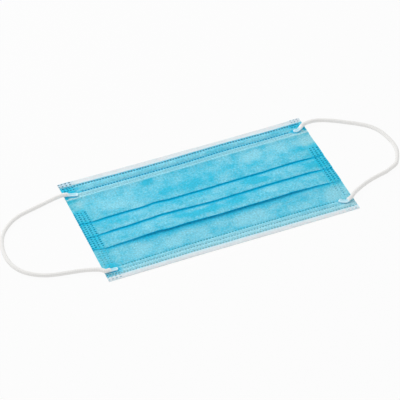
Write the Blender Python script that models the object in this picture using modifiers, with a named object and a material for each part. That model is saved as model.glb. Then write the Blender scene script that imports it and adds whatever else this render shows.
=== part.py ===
"""Pleated surgical face mask lying flat, with its outside up.

Metres, +Z up. The origin is on the surface under the middle of the mask, +X runs
along its length and +Y points to the nose edge. Places across the mask are measured
from the nose edge, and are called down.
"""
import math
from collections import namedtuple

import bmesh
import bpy
from mathutils import Vector

MASK_LENGTH = 0.175
MASK_HEIGHT = 0.095

# Cloth: the blue sheet and the white edge strips have one thickness
CLOTH = 0.0010
LAYER_GAP = 0.0003
GAP = 0.0003

# White edge strips, folded round the edges of the blue cloth
HEM_SHOWS = 0.0039
NOSE_STRIP = 0.0170
CHIN_STRIP = 0.0115

# Nose wire, inside the folded nose edge
WIRE_LENGTH = 0.120
WIRE_WIDTH = 0.0030
WIRE_THICKNESS = 0.0005
WIRE_PLACE = 0.0081
RIDGE_FADE = 0.0165

# Pleats: the first one rises from the flat cloth at this place
FIRST_RISE = 0.0295
PLEAT_MARGIN = 0.0002
LIFT_START = 0.018
LIFT_END = 0.045

# Welded ends, where the layers are pressed together to a share of their height
WELD_WIDTH = 0.0085
PRESS_END = 0.0205
PRESSED = 0.40

# Ear loops
CORD_DIAMETER = 0.0028
CORD_STEP = 0.0065

# How finely the shapes are drawn
MIDDLE_STATIONS = 16
FOLD_SEGMENTS = 4
WELD_SECTIONS = 3
LOFT_SIDES = 12
CURVE_PARTS = 20

# Each pleat's edge, as shares of the mask's height: its mean place, and how far it stands up
Pleat = namedtuple("Pleat", "edge lift")
PLEATS = (
    Pleat(edge=0.428, lift=0.005),
    Pleat(edge=0.559, lift=0.006),
    Pleat(edge=0.703, lift=0.020),
)

# How far each pleat's edge wanders, as shares of the mask's height, at shares of its length
Wave = namedtuple("Wave", "along first second third")
WAVES = (
    Wave(along=0.00, first=-0.001, second=0.005, third=-0.004),
    Wave(along=0.05, first=-0.001, second=0.005, third=-0.004),
    Wave(along=0.17, first=-0.003, second=-0.002, third=-0.006),
    Wave(along=0.25, first=0.000, second=-0.007, third=-0.012),
    Wave(along=0.30, first=-0.009, second=-0.012, third=0.000),
    Wave(along=0.36, first=-0.002, second=-0.009, third=0.001),
    Wave(along=0.43, first=0.003, second=0.001, third=0.005),
    Wave(along=0.50, first=0.001, second=0.006, third=0.008),
    Wave(along=0.63, first=-0.002, second=-0.003, third=0.006),
    Wave(along=0.74, first=-0.003, second=-0.012, third=0.003),
    Wave(along=0.81, first=-0.013, second=-0.011, third=-0.006),
    Wave(along=0.92, first=-0.016, second=-0.008, third=-0.004),
    Wave(along=1.00, first=-0.016, second=-0.008, third=-0.004),
)

# Sections of the welded cord ends, from the tip to the round cord. Inward is measured from
# the mask's end and down from its nose edge, or up from its chin edge. A thickness is a share
# of the cord's diameter, and so is a width.
Section = namedtuple("Section", "inward aside width thickness")
WELD_ENDS = {
    "top_left": (
        Section(inward=0.0086, aside=0.0158, width=1.15, thickness=0.43),
        Section(inward=0.0042, aside=0.0146, width=1.15, thickness=0.43),
        Section(inward=0.0024, aside=0.0141, width=1.10, thickness=0.68),
        Section(inward=0.0009, aside=0.0137, width=1.00, thickness=1.00),
    ),
    "top_right": (
        Section(inward=0.0110, aside=0.0120, width=0.55, thickness=0.40),
        Section(inward=0.0102, aside=0.0122, width=1.05, thickness=0.43),
        Section(inward=0.0073, aside=0.0130, width=1.28, thickness=0.43),
        Section(inward=0.0049, aside=0.0128, width=1.15, thickness=0.57),
        Section(inward=0.0025, aside=0.0111, width=1.00, thickness=1.00),
    ),
    "bottom_left": (
        Section(inward=0.0092, aside=0.0066, width=0.60, thickness=0.40),
        Section(inward=0.0083, aside=0.0065, width=1.10, thickness=0.43),
        Section(inward=0.0050, aside=0.0061, width=1.28, thickness=0.43),
        Section(inward=0.0026, aside=0.0064, width=1.15, thickness=0.68),
        Section(inward=0.0008, aside=0.0075, width=1.00, thickness=1.00),
    ),
    "bottom_right": (
        Section(inward=0.0118, aside=0.0099, width=0.55, thickness=0.40),
        Section(inward=0.0111, aside=0.0092, width=1.05, thickness=0.43),
        Section(inward=0.0089, aside=0.0072, width=1.28, thickness=0.43),
        Section(inward=0.0068, aside=0.0065, width=1.18, thickness=0.54),
        Section(inward=0.0039, aside=0.0077, width=1.00, thickness=1.00),
    ),
}

# Centreline of each ear loop between its two welded ends, from the nose edge round to the chin edge
LOOP_ROUTES = {
    "left": (
        (-0.0952, 0.0342, 0.0033), (-0.1022, 0.0330, 0.0018), (-0.1113, 0.0309, 0.00145),
        (-0.1191, 0.0293, 0.00145), (-0.1252, 0.0266, 0.00145), (-0.1309, 0.0223, 0.00145),
        (-0.1353, 0.0171, 0.00145), (-0.1387, 0.0105, 0.00145), (-0.1408, 0.0021, 0.00145),
        (-0.1408, -0.0052, 0.00145), (-0.1388, -0.0124, 0.00145), (-0.1353, -0.0188, 0.00145),
        (-0.1306, -0.0235, 0.00145), (-0.1243, -0.0272, 0.00145), (-0.1181, -0.0295, 0.00145),
        (-0.1096, -0.0308, 0.0015), (-0.1020, -0.0324, 0.0021), (-0.0952, -0.0350, 0.0035),
    ),
    "right": (
        (0.0936, 0.0389, 0.0033), (0.1005, 0.0387, 0.0018), (0.1068, 0.0361, 0.00145),
        (0.1151, 0.0309, 0.00145), (0.1222, 0.0261, 0.00145), (0.1280, 0.0203, 0.00145),
        (0.1321, 0.0139, 0.00145), (0.1347, 0.0061, 0.00145), (0.1355, -0.0009, 0.00145),
        (0.1345, -0.0077, 0.00145), (0.1317, -0.0142, 0.00145), (0.1279, -0.0188, 0.00145),
        (0.1236, -0.0213, 0.00145), (0.1187, -0.0230, 0.00145), (0.1120, -0.0248, 0.00145),
        (0.1049, -0.0266, 0.0015), (0.0956, -0.0312, 0.0027), (0.0889, -0.0362, 0.0039),
    ),
}

# Levels of the layers' middles above the surface: 0 is the lowest
PITCH = CLOTH + LAYER_GAP
FOLD_RADIUS = PITCH / 2
FOLD_REACH = FOLD_RADIUS + CLOTH / 2 / math.cos(math.pi / 2 / FOLD_SEGMENTS)
RAMP = 2 * PITCH

# Distance from one pleat's edge to where the next pleat's top layer begins
CLIMB = math.sqrt(2) * (FOLD_REACH + LAYER_GAP) + (math.sqrt(2) - 1) * CLOTH / 2 + PLEAT_MARGIN


def level(number):
    """Height of the middle of a layer."""
    return CLOTH / 2 + number * PITCH


def smoothstep(low, high, value):
    """0 below low, 1 above high and an S-curve between them."""
    share = min(max((value - low) / (high - low), 0.0), 1.0)
    return share * share * (3.0 - 2.0 * share)


def from_end(x):
    """Distance from the nearer end of the mask."""
    return MASK_LENGTH / 2 - abs(x)


def wave(x, pleat):
    """How far a pleat's edge wanders from its mean place."""
    along = x / MASK_LENGTH + 0.5
    for before, after in zip(WAVES, WAVES[1:]):
        if along <= after.along:
            break
    share = smoothstep(before.along, after.along, along)
    column = pleat + 1
    return MASK_HEIGHT * (before[column] + (after[column] - before[column]) * share)


def pleat_edges(x):
    """Places of the three pleats' edges."""
    return [MASK_HEIGHT * pleat.edge + wave(x, number) for number, pleat in enumerate(PLEATS)]


def pleat_rises(x):
    """Places where the three pleats' top layers begin."""
    edges = pleat_edges(x)
    return [FIRST_RISE, edges[0] + CLIMB, edges[1] + CLIMB]


def lift_share(x):
    """How much of a pleat's lift it has: none at the welds, all of it in the middle."""
    return smoothstep(LIFT_START, LIFT_END, from_end(x))


def turn(down, height, side):
    """Half circle of a fold, from its upper layer to its lower one, bulging to one side."""
    angles = [math.pi / 2 - math.pi * number / FOLD_SEGMENTS for number in range(FOLD_SEGMENTS + 1)]
    return [(down + side * FOLD_RADIUS * math.cos(a), height + FOLD_RADIUS * math.sin(a)) for a in angles]


def nose_zone(x):
    """Blue cloth over the nose strip, with the ridge that the nose wire makes."""
    run = WIRE_THICKNESS + GAP
    half = WIRE_WIDTH / 2 + CLOTH / 2 + GAP
    fade = smoothstep(WIRE_LENGTH / 2 + GAP, WIRE_LENGTH / 2 + RIDGE_FADE, abs(x))
    top = level(1) + run * (1.0 - fade)
    return [
        (HEM_SHOWS + GAP, level(1)),
        (WIRE_PLACE - half - run, level(1)),
        (WIRE_PLACE - half, top),
        (WIRE_PLACE + half, top),
        (WIRE_PLACE + half + run, level(1)),
        (NOSE_STRIP + 2 * GAP, level(1)),
        (NOSE_STRIP + 2 * GAP + PITCH, level(0)),
    ]


def pleat(rise, edge, lift):
    """One pleat: up the ramp, forward on top, back in the middle and forward below."""
    inner = edge - FOLD_REACH
    slope = [(rise + (inner - rise) * share, lift * smoothstep(0, 1, share)) for share in (1 / 3, 2 / 3)]
    points = [(rise - RAMP, level(0)), (rise, level(2))]
    points += [(down, level(2) + raised) for down, raised in slope]
    points += turn(inner, (level(1) + level(2)) / 2 + lift, 1)
    points += [(down, level(1) + raised) for down, raised in reversed(slope)]
    points += turn(rise + FOLD_REACH, (level(0) + level(1)) / 2, -1)
    return points


def chin_zone():
    """Blue cloth over the chin strip."""
    leg = MASK_HEIGHT - CHIN_STRIP - 2 * GAP
    return [(leg - PITCH, level(0)), (leg, level(1)), (MASK_HEIGHT - HEM_SHOWS - GAP, level(1))]


def cloth_path(x):
    """Midline of the blue cloth at one place along the mask, as (down, height) pairs."""
    points = nose_zone(x)
    for rise, edge, shape in zip(pleat_rises(x), pleat_edges(x), PLEATS):
        points += pleat(rise, edge, MASK_HEIGHT * shape.lift * lift_share(x))
    return points + chin_zone()


def hem_path(leg):
    """Midline of an edge strip: the leg under the cloth, round the edge, and the part that shows."""
    edge = turn(FOLD_REACH, (level(0) + level(1)) / 2, -1)
    return [(HEM_SHOWS, level(1))] + edge + [(leg, level(0))]


def stations():
    """Places along the mask where its sections are drawn: close together at the ends."""
    ends = [0.0, WELD_WIDTH]
    ends += [WELD_WIDTH + (PRESS_END - WELD_WIDTH) * number / 3 for number in (1, 2, 3)]
    left = [-MASK_LENGTH / 2 + place for place in ends]
    span = MASK_LENGTH - 2 * PRESS_END
    middle = [-span / 2 + span * number / MIDDLE_STATIONS for number in range(1, MIDDLE_STATIONS)]
    return left + middle + [-place for place in reversed(left)]


def place(x, down, height):
    """World point of a place on the mask."""
    return (x, MASK_HEIGHT / 2 - down, height)


def make_material(name, colour, roughness, metallic=0.0):
    material = bpy.data.materials.new(name)
    material.use_nodes = True
    shader = material.node_tree.nodes["Principled BSDF"]
    shader.inputs["Base Color"].default_value = (*colour, 1.0)
    shader.inputs["Roughness"].default_value = roughness
    shader.inputs["Metallic"].default_value = metallic
    return material


def add_mesh(name, mesh, material, collection):
    thing = bpy.data.objects.new(name, mesh)
    mesh.materials.append(material)
    collection.objects.link(thing)
    return thing


def sheet_mesh(name, rows):
    """Open surface through rows of points, one row for each station."""
    bm = bmesh.new()
    grid = [[bm.verts.new(point) for point in row] for row in rows]
    for here, there in zip(grid, grid[1:]):
        for number in range(len(here) - 1):
            bm.faces.new((here[number], here[number + 1], there[number + 1], there[number]))
    bmesh.ops.recalc_face_normals(bm, faces=bm.faces)
    mesh = bpy.data.meshes.new(name)
    bm.to_mesh(mesh)
    bm.free()
    return mesh


def loft_mesh(name, rings):
    """Closed body through rings of points, with a flat cap at each end."""
    bm = bmesh.new()
    grid = [[bm.verts.new(point) for point in ring] for ring in rings]
    for here, there in zip(grid, grid[1:]):
        for number in range(len(here)):
            after = (number + 1) % len(here)
            bm.faces.new((here[number], here[after], there[after], there[number]))
    bm.faces.new(grid[0])
    bm.faces.new(grid[-1])
    bmesh.ops.recalc_face_normals(bm, faces=bm.faces)
    mesh = bpy.data.meshes.new(name)
    bm.to_mesh(mesh)
    bm.free()
    return mesh


def add_sheet(name, rows, material, collection):
    """Sheet of cloth with its thickness."""
    sheet = add_mesh(name, sheet_mesh(name, rows), material, collection)
    solidify = sheet.modifiers.new("Thickness", "SOLIDIFY")
    solidify.thickness = CLOTH
    solidify.offset = 0.0
    solidify.use_even_offset = True
    return sheet


def weld_block(name, side, number, cutters):
    """Block that joins the three layers of one pleat, from just inside one end of the mask."""
    rings = []
    for step in range(WELD_SECTIONS + 1):
        inward = LAYER_GAP + (PRESS_END + CLOTH - LAYER_GAP) * step / WELD_SECTIONS
        x = side * (MASK_LENGTH / 2 - inward)
        near = pleat_rises(x)[number] + FOLD_REACH - CLOTH / 2
        far = pleat_edges(x)[number] - FOLD_REACH + CLOTH / 2
        corners = ((near, level(0)), (far, level(0)), (far, level(2)), (near, level(2)))
        rings.append([place(x, down, height) for down, height in corners])
    block = bpy.data.objects.new(name, loft_mesh(name, rings))
    cutters.objects.link(block)
    block.hide_render = True
    block.display_type = "WIRE"
    return block


def press_ends(mesh):
    """Press the welded pleats flat, above the lowest layer, at both ends of the mask."""
    for vertex in mesh.vertices:
        vertex.co.z = max(vertex.co.z, 0.0)
        down = MASK_HEIGHT / 2 - vertex.co.y
        if NOSE_STRIP + PITCH < down < MASK_HEIGHT - CHIN_STRIP - PITCH and vertex.co.z > CLOTH:
            eased = smoothstep(WELD_WIDTH, PRESS_END, from_end(vertex.co.x))
            share = PRESSED + (1.0 - PRESSED) * eased
            vertex.co.z = CLOTH + (vertex.co.z - CLOTH) * share


def add_mask_body(material, collection, cutters):
    rows = [[place(x, down, height) for down, height in cloth_path(x)] for x in stations()]
    sheet = add_sheet("mask_body", rows, material, collection)
    for side, end in ((-1, "left"), (1, "right")):
        for number in range(len(PLEATS)):
            union = sheet.modifiers.new(f"Weld {end} {number + 1}", "BOOLEAN")
            union.operation = "UNION"
            union.solver = "EXACT"
            union.object = weld_block(f"weld_{end}_{number + 1}", side, number, cutters)
    bpy.context.view_layer.update()
    evaluated = sheet.evaluated_get(bpy.context.evaluated_depsgraph_get())
    welded = bpy.data.meshes.new_from_object(evaluated)
    sheet.modifiers.clear()
    sheet.data = welded
    press_ends(welded)
    return sheet


def add_hem(name, leg, flip, material, collection):
    """Edge strip: its path is drawn from the nose edge, and mirrored for the chin edge."""
    ends = (-MASK_LENGTH / 2, MASK_LENGTH / 2)
    path = hem_path(leg)
    if flip:
        path = [(MASK_HEIGHT - down, height) for down, height in path]
    rows = [[place(x, down, height) for down, height in path] for x in ends]
    return add_sheet(name, rows, material, collection)


def add_nose_wire(material, collection):
    bpy.ops.mesh.primitive_cube_add(size=1.0)
    wire = bpy.context.active_object
    wire.name = "nose_wire"
    wire.data.name = "nose_wire"
    for held in list(wire.users_collection):
        held.objects.unlink(wire)
    collection.objects.link(wire)
    base = CLOTH + GAP
    wire.location = place(0.0, WIRE_PLACE, base + WIRE_THICKNESS / 2)
    for vertex in wire.data.vertices:
        vertex.co.x *= WIRE_LENGTH
        vertex.co.y *= WIRE_WIDTH
        vertex.co.z *= WIRE_THICKNESS
    wire.data.materials.append(material)
    return wire


def weld_points(corner):
    """Centres of the sections of one welded cord end."""
    edge, end = corner.split("_")
    side = -1 if end == "left" else 1
    base = level(1) + CLOTH / 2 + GAP
    points = []
    for row in WELD_ENDS[corner]:
        down = row.aside if edge == "top" else MASK_HEIGHT - row.aside
        height = base + row.thickness * CORD_DIAMETER / 2
        points.append(Vector(place(side * (MASK_LENGTH / 2 - row.inward), down, height)))
    return points


def flat_ring(centre, along, width, thickness):
    """Rounded section of a cord end, square to its run: the flatter it is, the squarer its corners."""
    across = Vector((-along.y, along.x, 0.0)).normalized()
    squareness = thickness / width
    ring = []
    for number in range(LOFT_SIDES):
        angle = 2 * math.pi * (number + 0.5) / LOFT_SIDES
        bulge_x = math.copysign(abs(math.cos(angle)) ** squareness, math.cos(angle))
        bulge_z = math.copysign(abs(math.sin(angle)) ** squareness, math.sin(angle))
        ring.append(centre + across * bulge_x * width / 2 + Vector((0, 0, 1)) * bulge_z * thickness / 2)
    return ring


def add_weld_end(corner, material, collection):
    centres = weld_points(corner)
    rings = []
    for number, row in enumerate(WELD_ENDS[corner]):
        before = centres[max(number - 1, 0)]
        after = centres[min(number + 1, len(centres) - 1)]
        width = row.width * CORD_DIAMETER
        thickness = row.thickness * CORD_DIAMETER
        rings.append(flat_ring(centres[number], after - before, width, thickness))
    name = f"loop_weld_{corner}"
    return add_mesh(name, loft_mesh(name, rings), material, collection)


def smooth_curve(points, step):
    """Evenly spaced points on a smooth curve through the given ones."""
    padded = [points[0] * 2 - points[1], *points, points[-1] * 2 - points[-2]]
    fine = []
    for p0, p1, p2, p3 in zip(padded, padded[1:], padded[2:], padded[3:]):
        t1, t2, t3 = (math.sqrt((b - a).length) for a, b in ((p0, p1), (p1, p2), (p2, p3)))
        leave = ((p1 - p0) / t1 - (p2 - p0) / (t1 + t2) + (p2 - p1) / t2) * t2
        arrive = ((p2 - p1) / t2 - (p3 - p1) / (t2 + t3) + (p3 - p2) / t3) * t2
        for part in range(CURVE_PARTS):
            s = part / CURVE_PARTS
            fine.append(p1 * (2 * s**3 - 3 * s**2 + 1) + leave * (s**3 - 2 * s**2 + s)
                        + p2 * (3 * s**2 - 2 * s**3) + arrive * (s**3 - s**2))
    fine.append(points[-1])
    travelled = [0.0]
    for a, b in zip(fine, fine[1:]):
        travelled.append(travelled[-1] + (b - a).length)
    count = round(travelled[-1] / step)
    spaced = []
    index = 0
    for number in range(count + 1):
        target = travelled[-1] * number / count
        while index < len(fine) - 2 and travelled[index + 1] < target:
            index += 1
        share = (target - travelled[index]) / (travelled[index + 1] - travelled[index])
        spaced.append(fine[index].lerp(fine[index + 1], share))
    return spaced


def add_ear_loop(side, material, collection):
    """Cord from one welded end to the other, leaving each of them straight."""
    ends = []
    for edge in ("top", "bottom"):
        tail, tip = weld_points(f"{edge}_{side}")[-2:]
        out = Vector((tip.x - tail.x, tip.y - tail.y, 0.0)).normalized()
        ends.append([tip + out * GAP, tip + out * CORD_DIAMETER])
    route = [Vector(point) for point in LOOP_ROUTES[side]]
    points = smooth_curve([*ends[0], *route, *reversed(ends[1])], CORD_STEP)
    curve = bpy.data.curves.new(f"ear_loop_{side}", "CURVE")
    curve.dimensions = "3D"
    curve.bevel_depth = CORD_DIAMETER / 2
    curve.bevel_resolution = 2
    curve.use_fill_caps = True
    spline = curve.splines.new("POLY")
    spline.points.add(len(points) - 1)
    for spot, point in zip(spline.points, points):
        spot.co = (*point, 1.0)
    curve.materials.append(material)
    loop = bpy.data.objects.new(f"ear_loop_{side}", curve)
    collection.objects.link(loop)
    return loop


def main():
    for thing in list(bpy.data.objects):
        bpy.data.objects.remove(thing, do_unlink=True)
    mask = bpy.data.collections.new("Surgical face mask")
    cutters = bpy.data.collections.new("Weld blocks")
    bpy.context.scene.collection.children.link(mask)
    bpy.context.scene.collection.children.link(cutters)

    blue = make_material("Blue spunbond cloth", (0.15, 0.57, 0.74), 0.85)
    white = make_material("White spunbond cloth", (0.80, 0.84, 0.85), 0.85)
    elastic = make_material("White knitted elastic", (0.82, 0.82, 0.82), 0.75)
    wire = make_material("Coated wire", (0.75, 0.75, 0.75), 0.45)

    add_mask_body(blue, mask, cutters)
    add_hem("hem_top", NOSE_STRIP, False, white, mask)
    add_hem("hem_bottom", CHIN_STRIP, True, white, mask)
    add_nose_wire(wire, mask)
    for corner in WELD_ENDS:
        add_weld_end(corner, elastic, mask)
    for side in LOOP_ROUTES:
        add_ear_loop(side, elastic, mask)


main()
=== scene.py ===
"""Pleated surgical face mask lying flat with its outside up: its looks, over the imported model.

Metres, +Z up, +X along the mask and +Y to its nose edge. Places across the mask are measured
from the nose edge, and are called down. Places along it are measured from its left end, and
are called along.
"""
import math
from collections import namedtuple

import bpy
from mathutils import Matrix, Vector, noise
from mathutils.bvhtree import BVHTree


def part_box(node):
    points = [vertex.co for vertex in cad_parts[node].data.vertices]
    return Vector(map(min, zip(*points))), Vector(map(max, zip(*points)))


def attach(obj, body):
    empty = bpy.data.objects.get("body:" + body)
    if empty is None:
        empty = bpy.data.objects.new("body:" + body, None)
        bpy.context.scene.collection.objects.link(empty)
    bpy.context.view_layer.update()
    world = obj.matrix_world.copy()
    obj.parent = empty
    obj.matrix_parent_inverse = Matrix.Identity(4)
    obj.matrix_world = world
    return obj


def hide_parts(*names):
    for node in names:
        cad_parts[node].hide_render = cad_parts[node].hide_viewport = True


bl_info = {
    "name": "Pleated face mask",
    "version": (1, 0, 0),
    "blender": (4, 5, 0),
    "location": "3D View > Sidebar > Face mask",
    "description": "Builds a pleated surgical face mask with welded seams and knitted ear cords",
    "category": "Object",
}

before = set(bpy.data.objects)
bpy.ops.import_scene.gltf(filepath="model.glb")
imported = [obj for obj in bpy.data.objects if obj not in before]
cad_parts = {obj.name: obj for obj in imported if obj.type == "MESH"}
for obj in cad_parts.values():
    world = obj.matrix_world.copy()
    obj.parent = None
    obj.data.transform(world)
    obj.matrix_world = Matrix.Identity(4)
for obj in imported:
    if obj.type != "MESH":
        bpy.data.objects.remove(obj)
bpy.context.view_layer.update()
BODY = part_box("mask_body")
MM = 0.001
LENGTH = BODY[1][0] - BODY[0][0]
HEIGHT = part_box("hem_top")[1][1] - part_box("hem_bottom")[0][1]

# Heights where the pleats lie open, at the stiffened ends and where the end welds press them flat: the
# middle of a single layer, and the top of a pleat's edge
Level = namedtuple("Level", "open stiff pressed")
FLAT_LEVEL = Level(open=0.75 * MM, stiff=0.72 * MM, pressed=0.66 * MM)
EDGE_TOP = Level(open=2.50 * MM, stiff=1.80 * MM, pressed=1.36 * MM)
PRESSED_CLOTH = 0.5
FOLD_GAP = 0.05 * MM
SEAM_LEVEL = 1.12 * MM
TUCKED_LEVEL = 0.80 * MM
CHIN_LEVEL = 0.74 * MM
CHIN_TUCKED = 0.60 * MM
WELD_END = 8.5 * MM
OPEN_FROM = 20.5 * MM

# Rows of welds along the edges: their places down at seven even steps from the left end to the right
NOSE_ROWS = (
    (5.25, 5.88, 6.34, 6.05, 5.50, 5.90, 5.35),
    (11.95, 12.08, 12.12, 12.00, 11.20, 11.50, 11.10),
    (15.45, 15.43, 15.36, 14.95, 14.40, 14.10, 13.95),
)
CHIN_ROWS = (
    (84.40, 84.05, 83.50, 83.50, 83.40, 83.30, 83.90),
    (87.40, 87.30, 86.65, 87.00, 86.72, 86.95, 87.50),
    (90.60, 90.55, 90.20, 90.30, 90.50, 90.72, 91.00),
)
ROW_TINTS = (0.45, 0.78, 0.05, 0.30, 0.10, 0.15)
# The white strips end this far before the first row, beyond the third row and beyond the last row
NOSE_HEM_BEFORE = 1.20 * MM
NOSE_STRIP_BEYOND = 1.80 * MM
CHIN_HEM_BEYOND = 1.10 * MM
NOSE_END = 19.2 * MM
NOSE_HEM_TOP = 1.35 * MM
CHIN_HEM_TOP = 1.22 * MM
# How far in from the straight edge the strips' folds lie, at the same seven places
NOSE_INSET = (0.00, 0.20, 0.45, 0.50, 0.55, 0.40, 0.05)
CHIN_INSET = (0.10, 0.30, 0.40, 0.30, 0.10, 0.10, 0.10)

# How far the cloth puffs up between the rows
NOSE_PUFF = 0.12 * MM
CHIN_PUFF = 0.16 * MM

# Nose wire's relief
RIDGE_HEIGHT = 0.65 * MM
RIDGE_HALF = 60.3 * MM
RIDGE_GONE = 76.5 * MM

# Pleats: place of the edge and how far it stands up, as shares of the mask's height, the way that
# the folded cloth goes back under it, the gap under its edge in the middle, and how far before the
# edge its top layer is fully up
Pleat = namedtuple("Pleat", "edge lift depth gap arrive")
PLEATS = (
    Pleat(edge=0.4362, lift=0.002, depth=9.0 * MM, gap=0.15 * MM, arrive=4.5 * MM),
    Pleat(edge=0.5675, lift=0.003, depth=7.2 * MM, gap=0.15 * MM, arrive=3.5 * MM),
    Pleat(edge=0.7050, lift=0.010, depth=8.0 * MM, gap=0.85 * MM, arrive=3.5 * MM),
)
# How far a pleat hangs over the start of the next layer, and between which distances from the ends it lifts
OVERHANG = 1.6 * MM
LIFT_START = 18.0 * MM
LIFT_END = 45.0 * MM
# The cloth is drawn in close steps up to the first distance from each end, and less close up to the second
CLOSE_STEPS = 10.0 * MM
NEAR_STEPS = 21.0 * MM

# How far each pleat's edge wanders, as shares of the mask's height, at shares of its length
Wave = namedtuple("Wave", "along first second third")
WAVES = (
    Wave(along=0.00, first=-0.010, second=0.002, third=-0.017),
    Wave(along=0.06, first=0.000, second=0.002, third=0.002),
    Wave(along=0.17, first=-0.001, second=0.001, third=-0.001),
    Wave(along=0.25, first=0.001, second=-0.006, third=-0.004),
    Wave(along=0.30, first=-0.008, second=-0.013, third=0.004),
    Wave(along=0.36, first=0.000, second=-0.009, third=0.001),
    Wave(along=0.43, first=0.000, second=-0.002, third=0.003),
    Wave(along=0.50, first=0.000, second=0.003, third=0.006),
    Wave(along=0.63, first=-0.005, second=-0.001, third=0.003),
    Wave(along=0.74, first=-0.005, second=-0.006, third=0.002),
    Wave(along=0.81, first=-0.012, second=-0.008, third=-0.006),
    Wave(along=0.92, first=-0.015, second=-0.011, third=-0.005),
    Wave(along=1.00, first=-0.018, second=-0.004, third=-0.002),
)

# How strong the light and dark specks of the two cloths are, and the mean of their noise
BLUE_GRAIN = 1.25
WHITE_GRAIN = 0.40
SPECK_MEAN = 0.488

# Weld marks: length along the mask and width, in mm, and colour, which is paler where white lies behind
Mark = namedtuple("Mark", "length width code")
ROW_MARKS = (
    Mark(length=1.45, width=1.35, code="3E84A6"),
    Mark(length=1.40, width=1.25, code="148ABA"),
    Mark(length=1.20, width=0.85, code="86CAE0"),
    Mark(length=1.30, width=1.05, code="3F9DB8"),
    Mark(length=1.25, width=1.00, code="6BAEC4"),
    Mark(length=1.30, width=1.05, code="80B4C0"),
)
COLUMN_MARK = Mark(length=1.45, width=1.10, code="008EB8")
SINGLE_MARK = Mark(length=1.20, width=0.90, code="4CB0CE")

# The rows nearest the edges run from end to end, and the others between the stiffened ends, in mm
LONG_ROW = (2.0, 173.0)
SHORT_ROW = (13.5, 161.5)
# From here down the end columns weld a single layer, in mm
SINGLE_FROM = 65.5
# End columns: where each starts and stops down the mask
Column = namedtuple("Column", "along start stop")
END_COLUMNS = (
    Column(along=0.5, start=31.2, stop=66.8),
    Column(along=2.75, start=30.7, stop=81.0),
    Column(along=5.1, start=31.2, stop=82.5),
    Column(along=7.7, start=31.0, stop=81.5),
    Column(along=168.7, start=31.2, stop=76.0),
    Column(along=171.2, start=31.0, stop=80.0),
    Column(along=173.7, start=32.0, stop=66.5),
)
END_PITCH = 1.95
ROW_PITCH = 2.0
# Marks on the white strips at the corners: places along, places down and what they look like
CORNER_MARKS = (
    ((0.3, 2.4, 5.0, 7.7), (1.2, 3.4), Mark(length=1.50, width=0.85, code="2A6C80")),
    ((168.3, 170.6, 172.9), (0.8, 2.9), Mark(length=1.30, width=0.80, code="6FA0B2")),
    ((0.5, 2.8, 5.5, 8.2), (91.9, 93.8), Mark(length=1.40, width=0.80, code="8FB9C6")),
    ((167.4, 170.1, 172.6), (92.0, 93.9), Mark(length=1.30, width=0.75, code="A9CAD4")),
)
# Marks in the blue cloth at the corners
FILM_MARKS = (
    ((2.2, 4.4, 6.4, 8.4), (6.4, 8.3), Mark(length=1.40, width=0.90, code="0086B0")),
    ((166.5, 168.7, 170.9), (5.6, 7.6), Mark(length=1.40, width=0.90, code="0C92BC")),
    ((0.6, 2.6, 4.6, 6.6, 8.6), (89.6,), Mark(length=1.30, width=0.90, code="34A0C0")),
)

# Sections of the welded cord ends, from the tip to the round cord: how far in from the mask's end,
# how far from its nearer long edge, and width and thickness as shares of the cord's diameter
Section = namedtuple("Section", "inward aside width thickness")
WELD_ENDS = {
    "top_left": (
        Section(inward=0.0089, aside=0.01465, width=0.98, thickness=0.41),
        Section(inward=0.0046, aside=0.01335, width=0.82, thickness=0.41),
        Section(inward=0.0034, aside=0.01310, width=0.84, thickness=0.60),
        Section(inward=0.0022, aside=0.01285, width=1.00, thickness=1.00),
    ),
    "top_right": (
        Section(inward=0.0094, aside=0.0114, width=0.45, thickness=0.38),
        Section(inward=0.0088, aside=0.0117, width=0.84, thickness=0.41),
        Section(inward=0.0074, aside=0.0121, width=0.90, thickness=0.41),
        Section(inward=0.0059, aside=0.0120, width=0.84, thickness=0.48),
        Section(inward=0.0044, aside=0.0113, width=0.92, thickness=0.85),
        Section(inward=0.0030, aside=0.0104, width=1.00, thickness=1.00),
    ),
    "bottom_left": (
        Section(inward=0.0089, aside=0.0079, width=0.50, thickness=0.38),
        Section(inward=0.0082, aside=0.0080, width=0.84, thickness=0.41),
        Section(inward=0.0064, aside=0.0082, width=0.86, thickness=0.41),
        Section(inward=0.0048, aside=0.0081, width=0.82, thickness=0.50),
        Section(inward=0.0034, aside=0.0081, width=1.00, thickness=1.00),
    ),
    "bottom_right": (
        Section(inward=0.0106, aside=0.0107, width=0.45, thickness=0.38),
        Section(inward=0.0100, aside=0.0103, width=0.80, thickness=0.41),
        Section(inward=0.0080, aside=0.0091, width=0.90, thickness=0.41),
        Section(inward=0.0056, aside=0.0082, width=0.88, thickness=0.50),
        Section(inward=0.0040, aside=0.0089, width=1.00, thickness=1.00),
    ),
}
SQUARE_END = "top_left"
WELD_BASE = {"top": 1.38 * MM, "bottom": 1.10 * MM}
# How strongly the cloth beside each cord end is darkened: partly film that the weld pressed, partly painted
# shadow round the end
WELD_HALO_AND_SHADOW = {"top_left": 0.95, "top_right": 0.85, "bottom_left": 0.85, "bottom_right": 0.20}
# The halo is full up to the first distance from the end's middle line, and gone at the second
HALO_FULL = 1.2 * MM
HALO_GONE = 2.5 * MM
CORD = 2.75 * MM
CORD_STEP = 0.45 * MM
CORD_SIDES = 36
WALES = 9
END_STEP = 0.30 * MM
END_SIDES = 28

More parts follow.
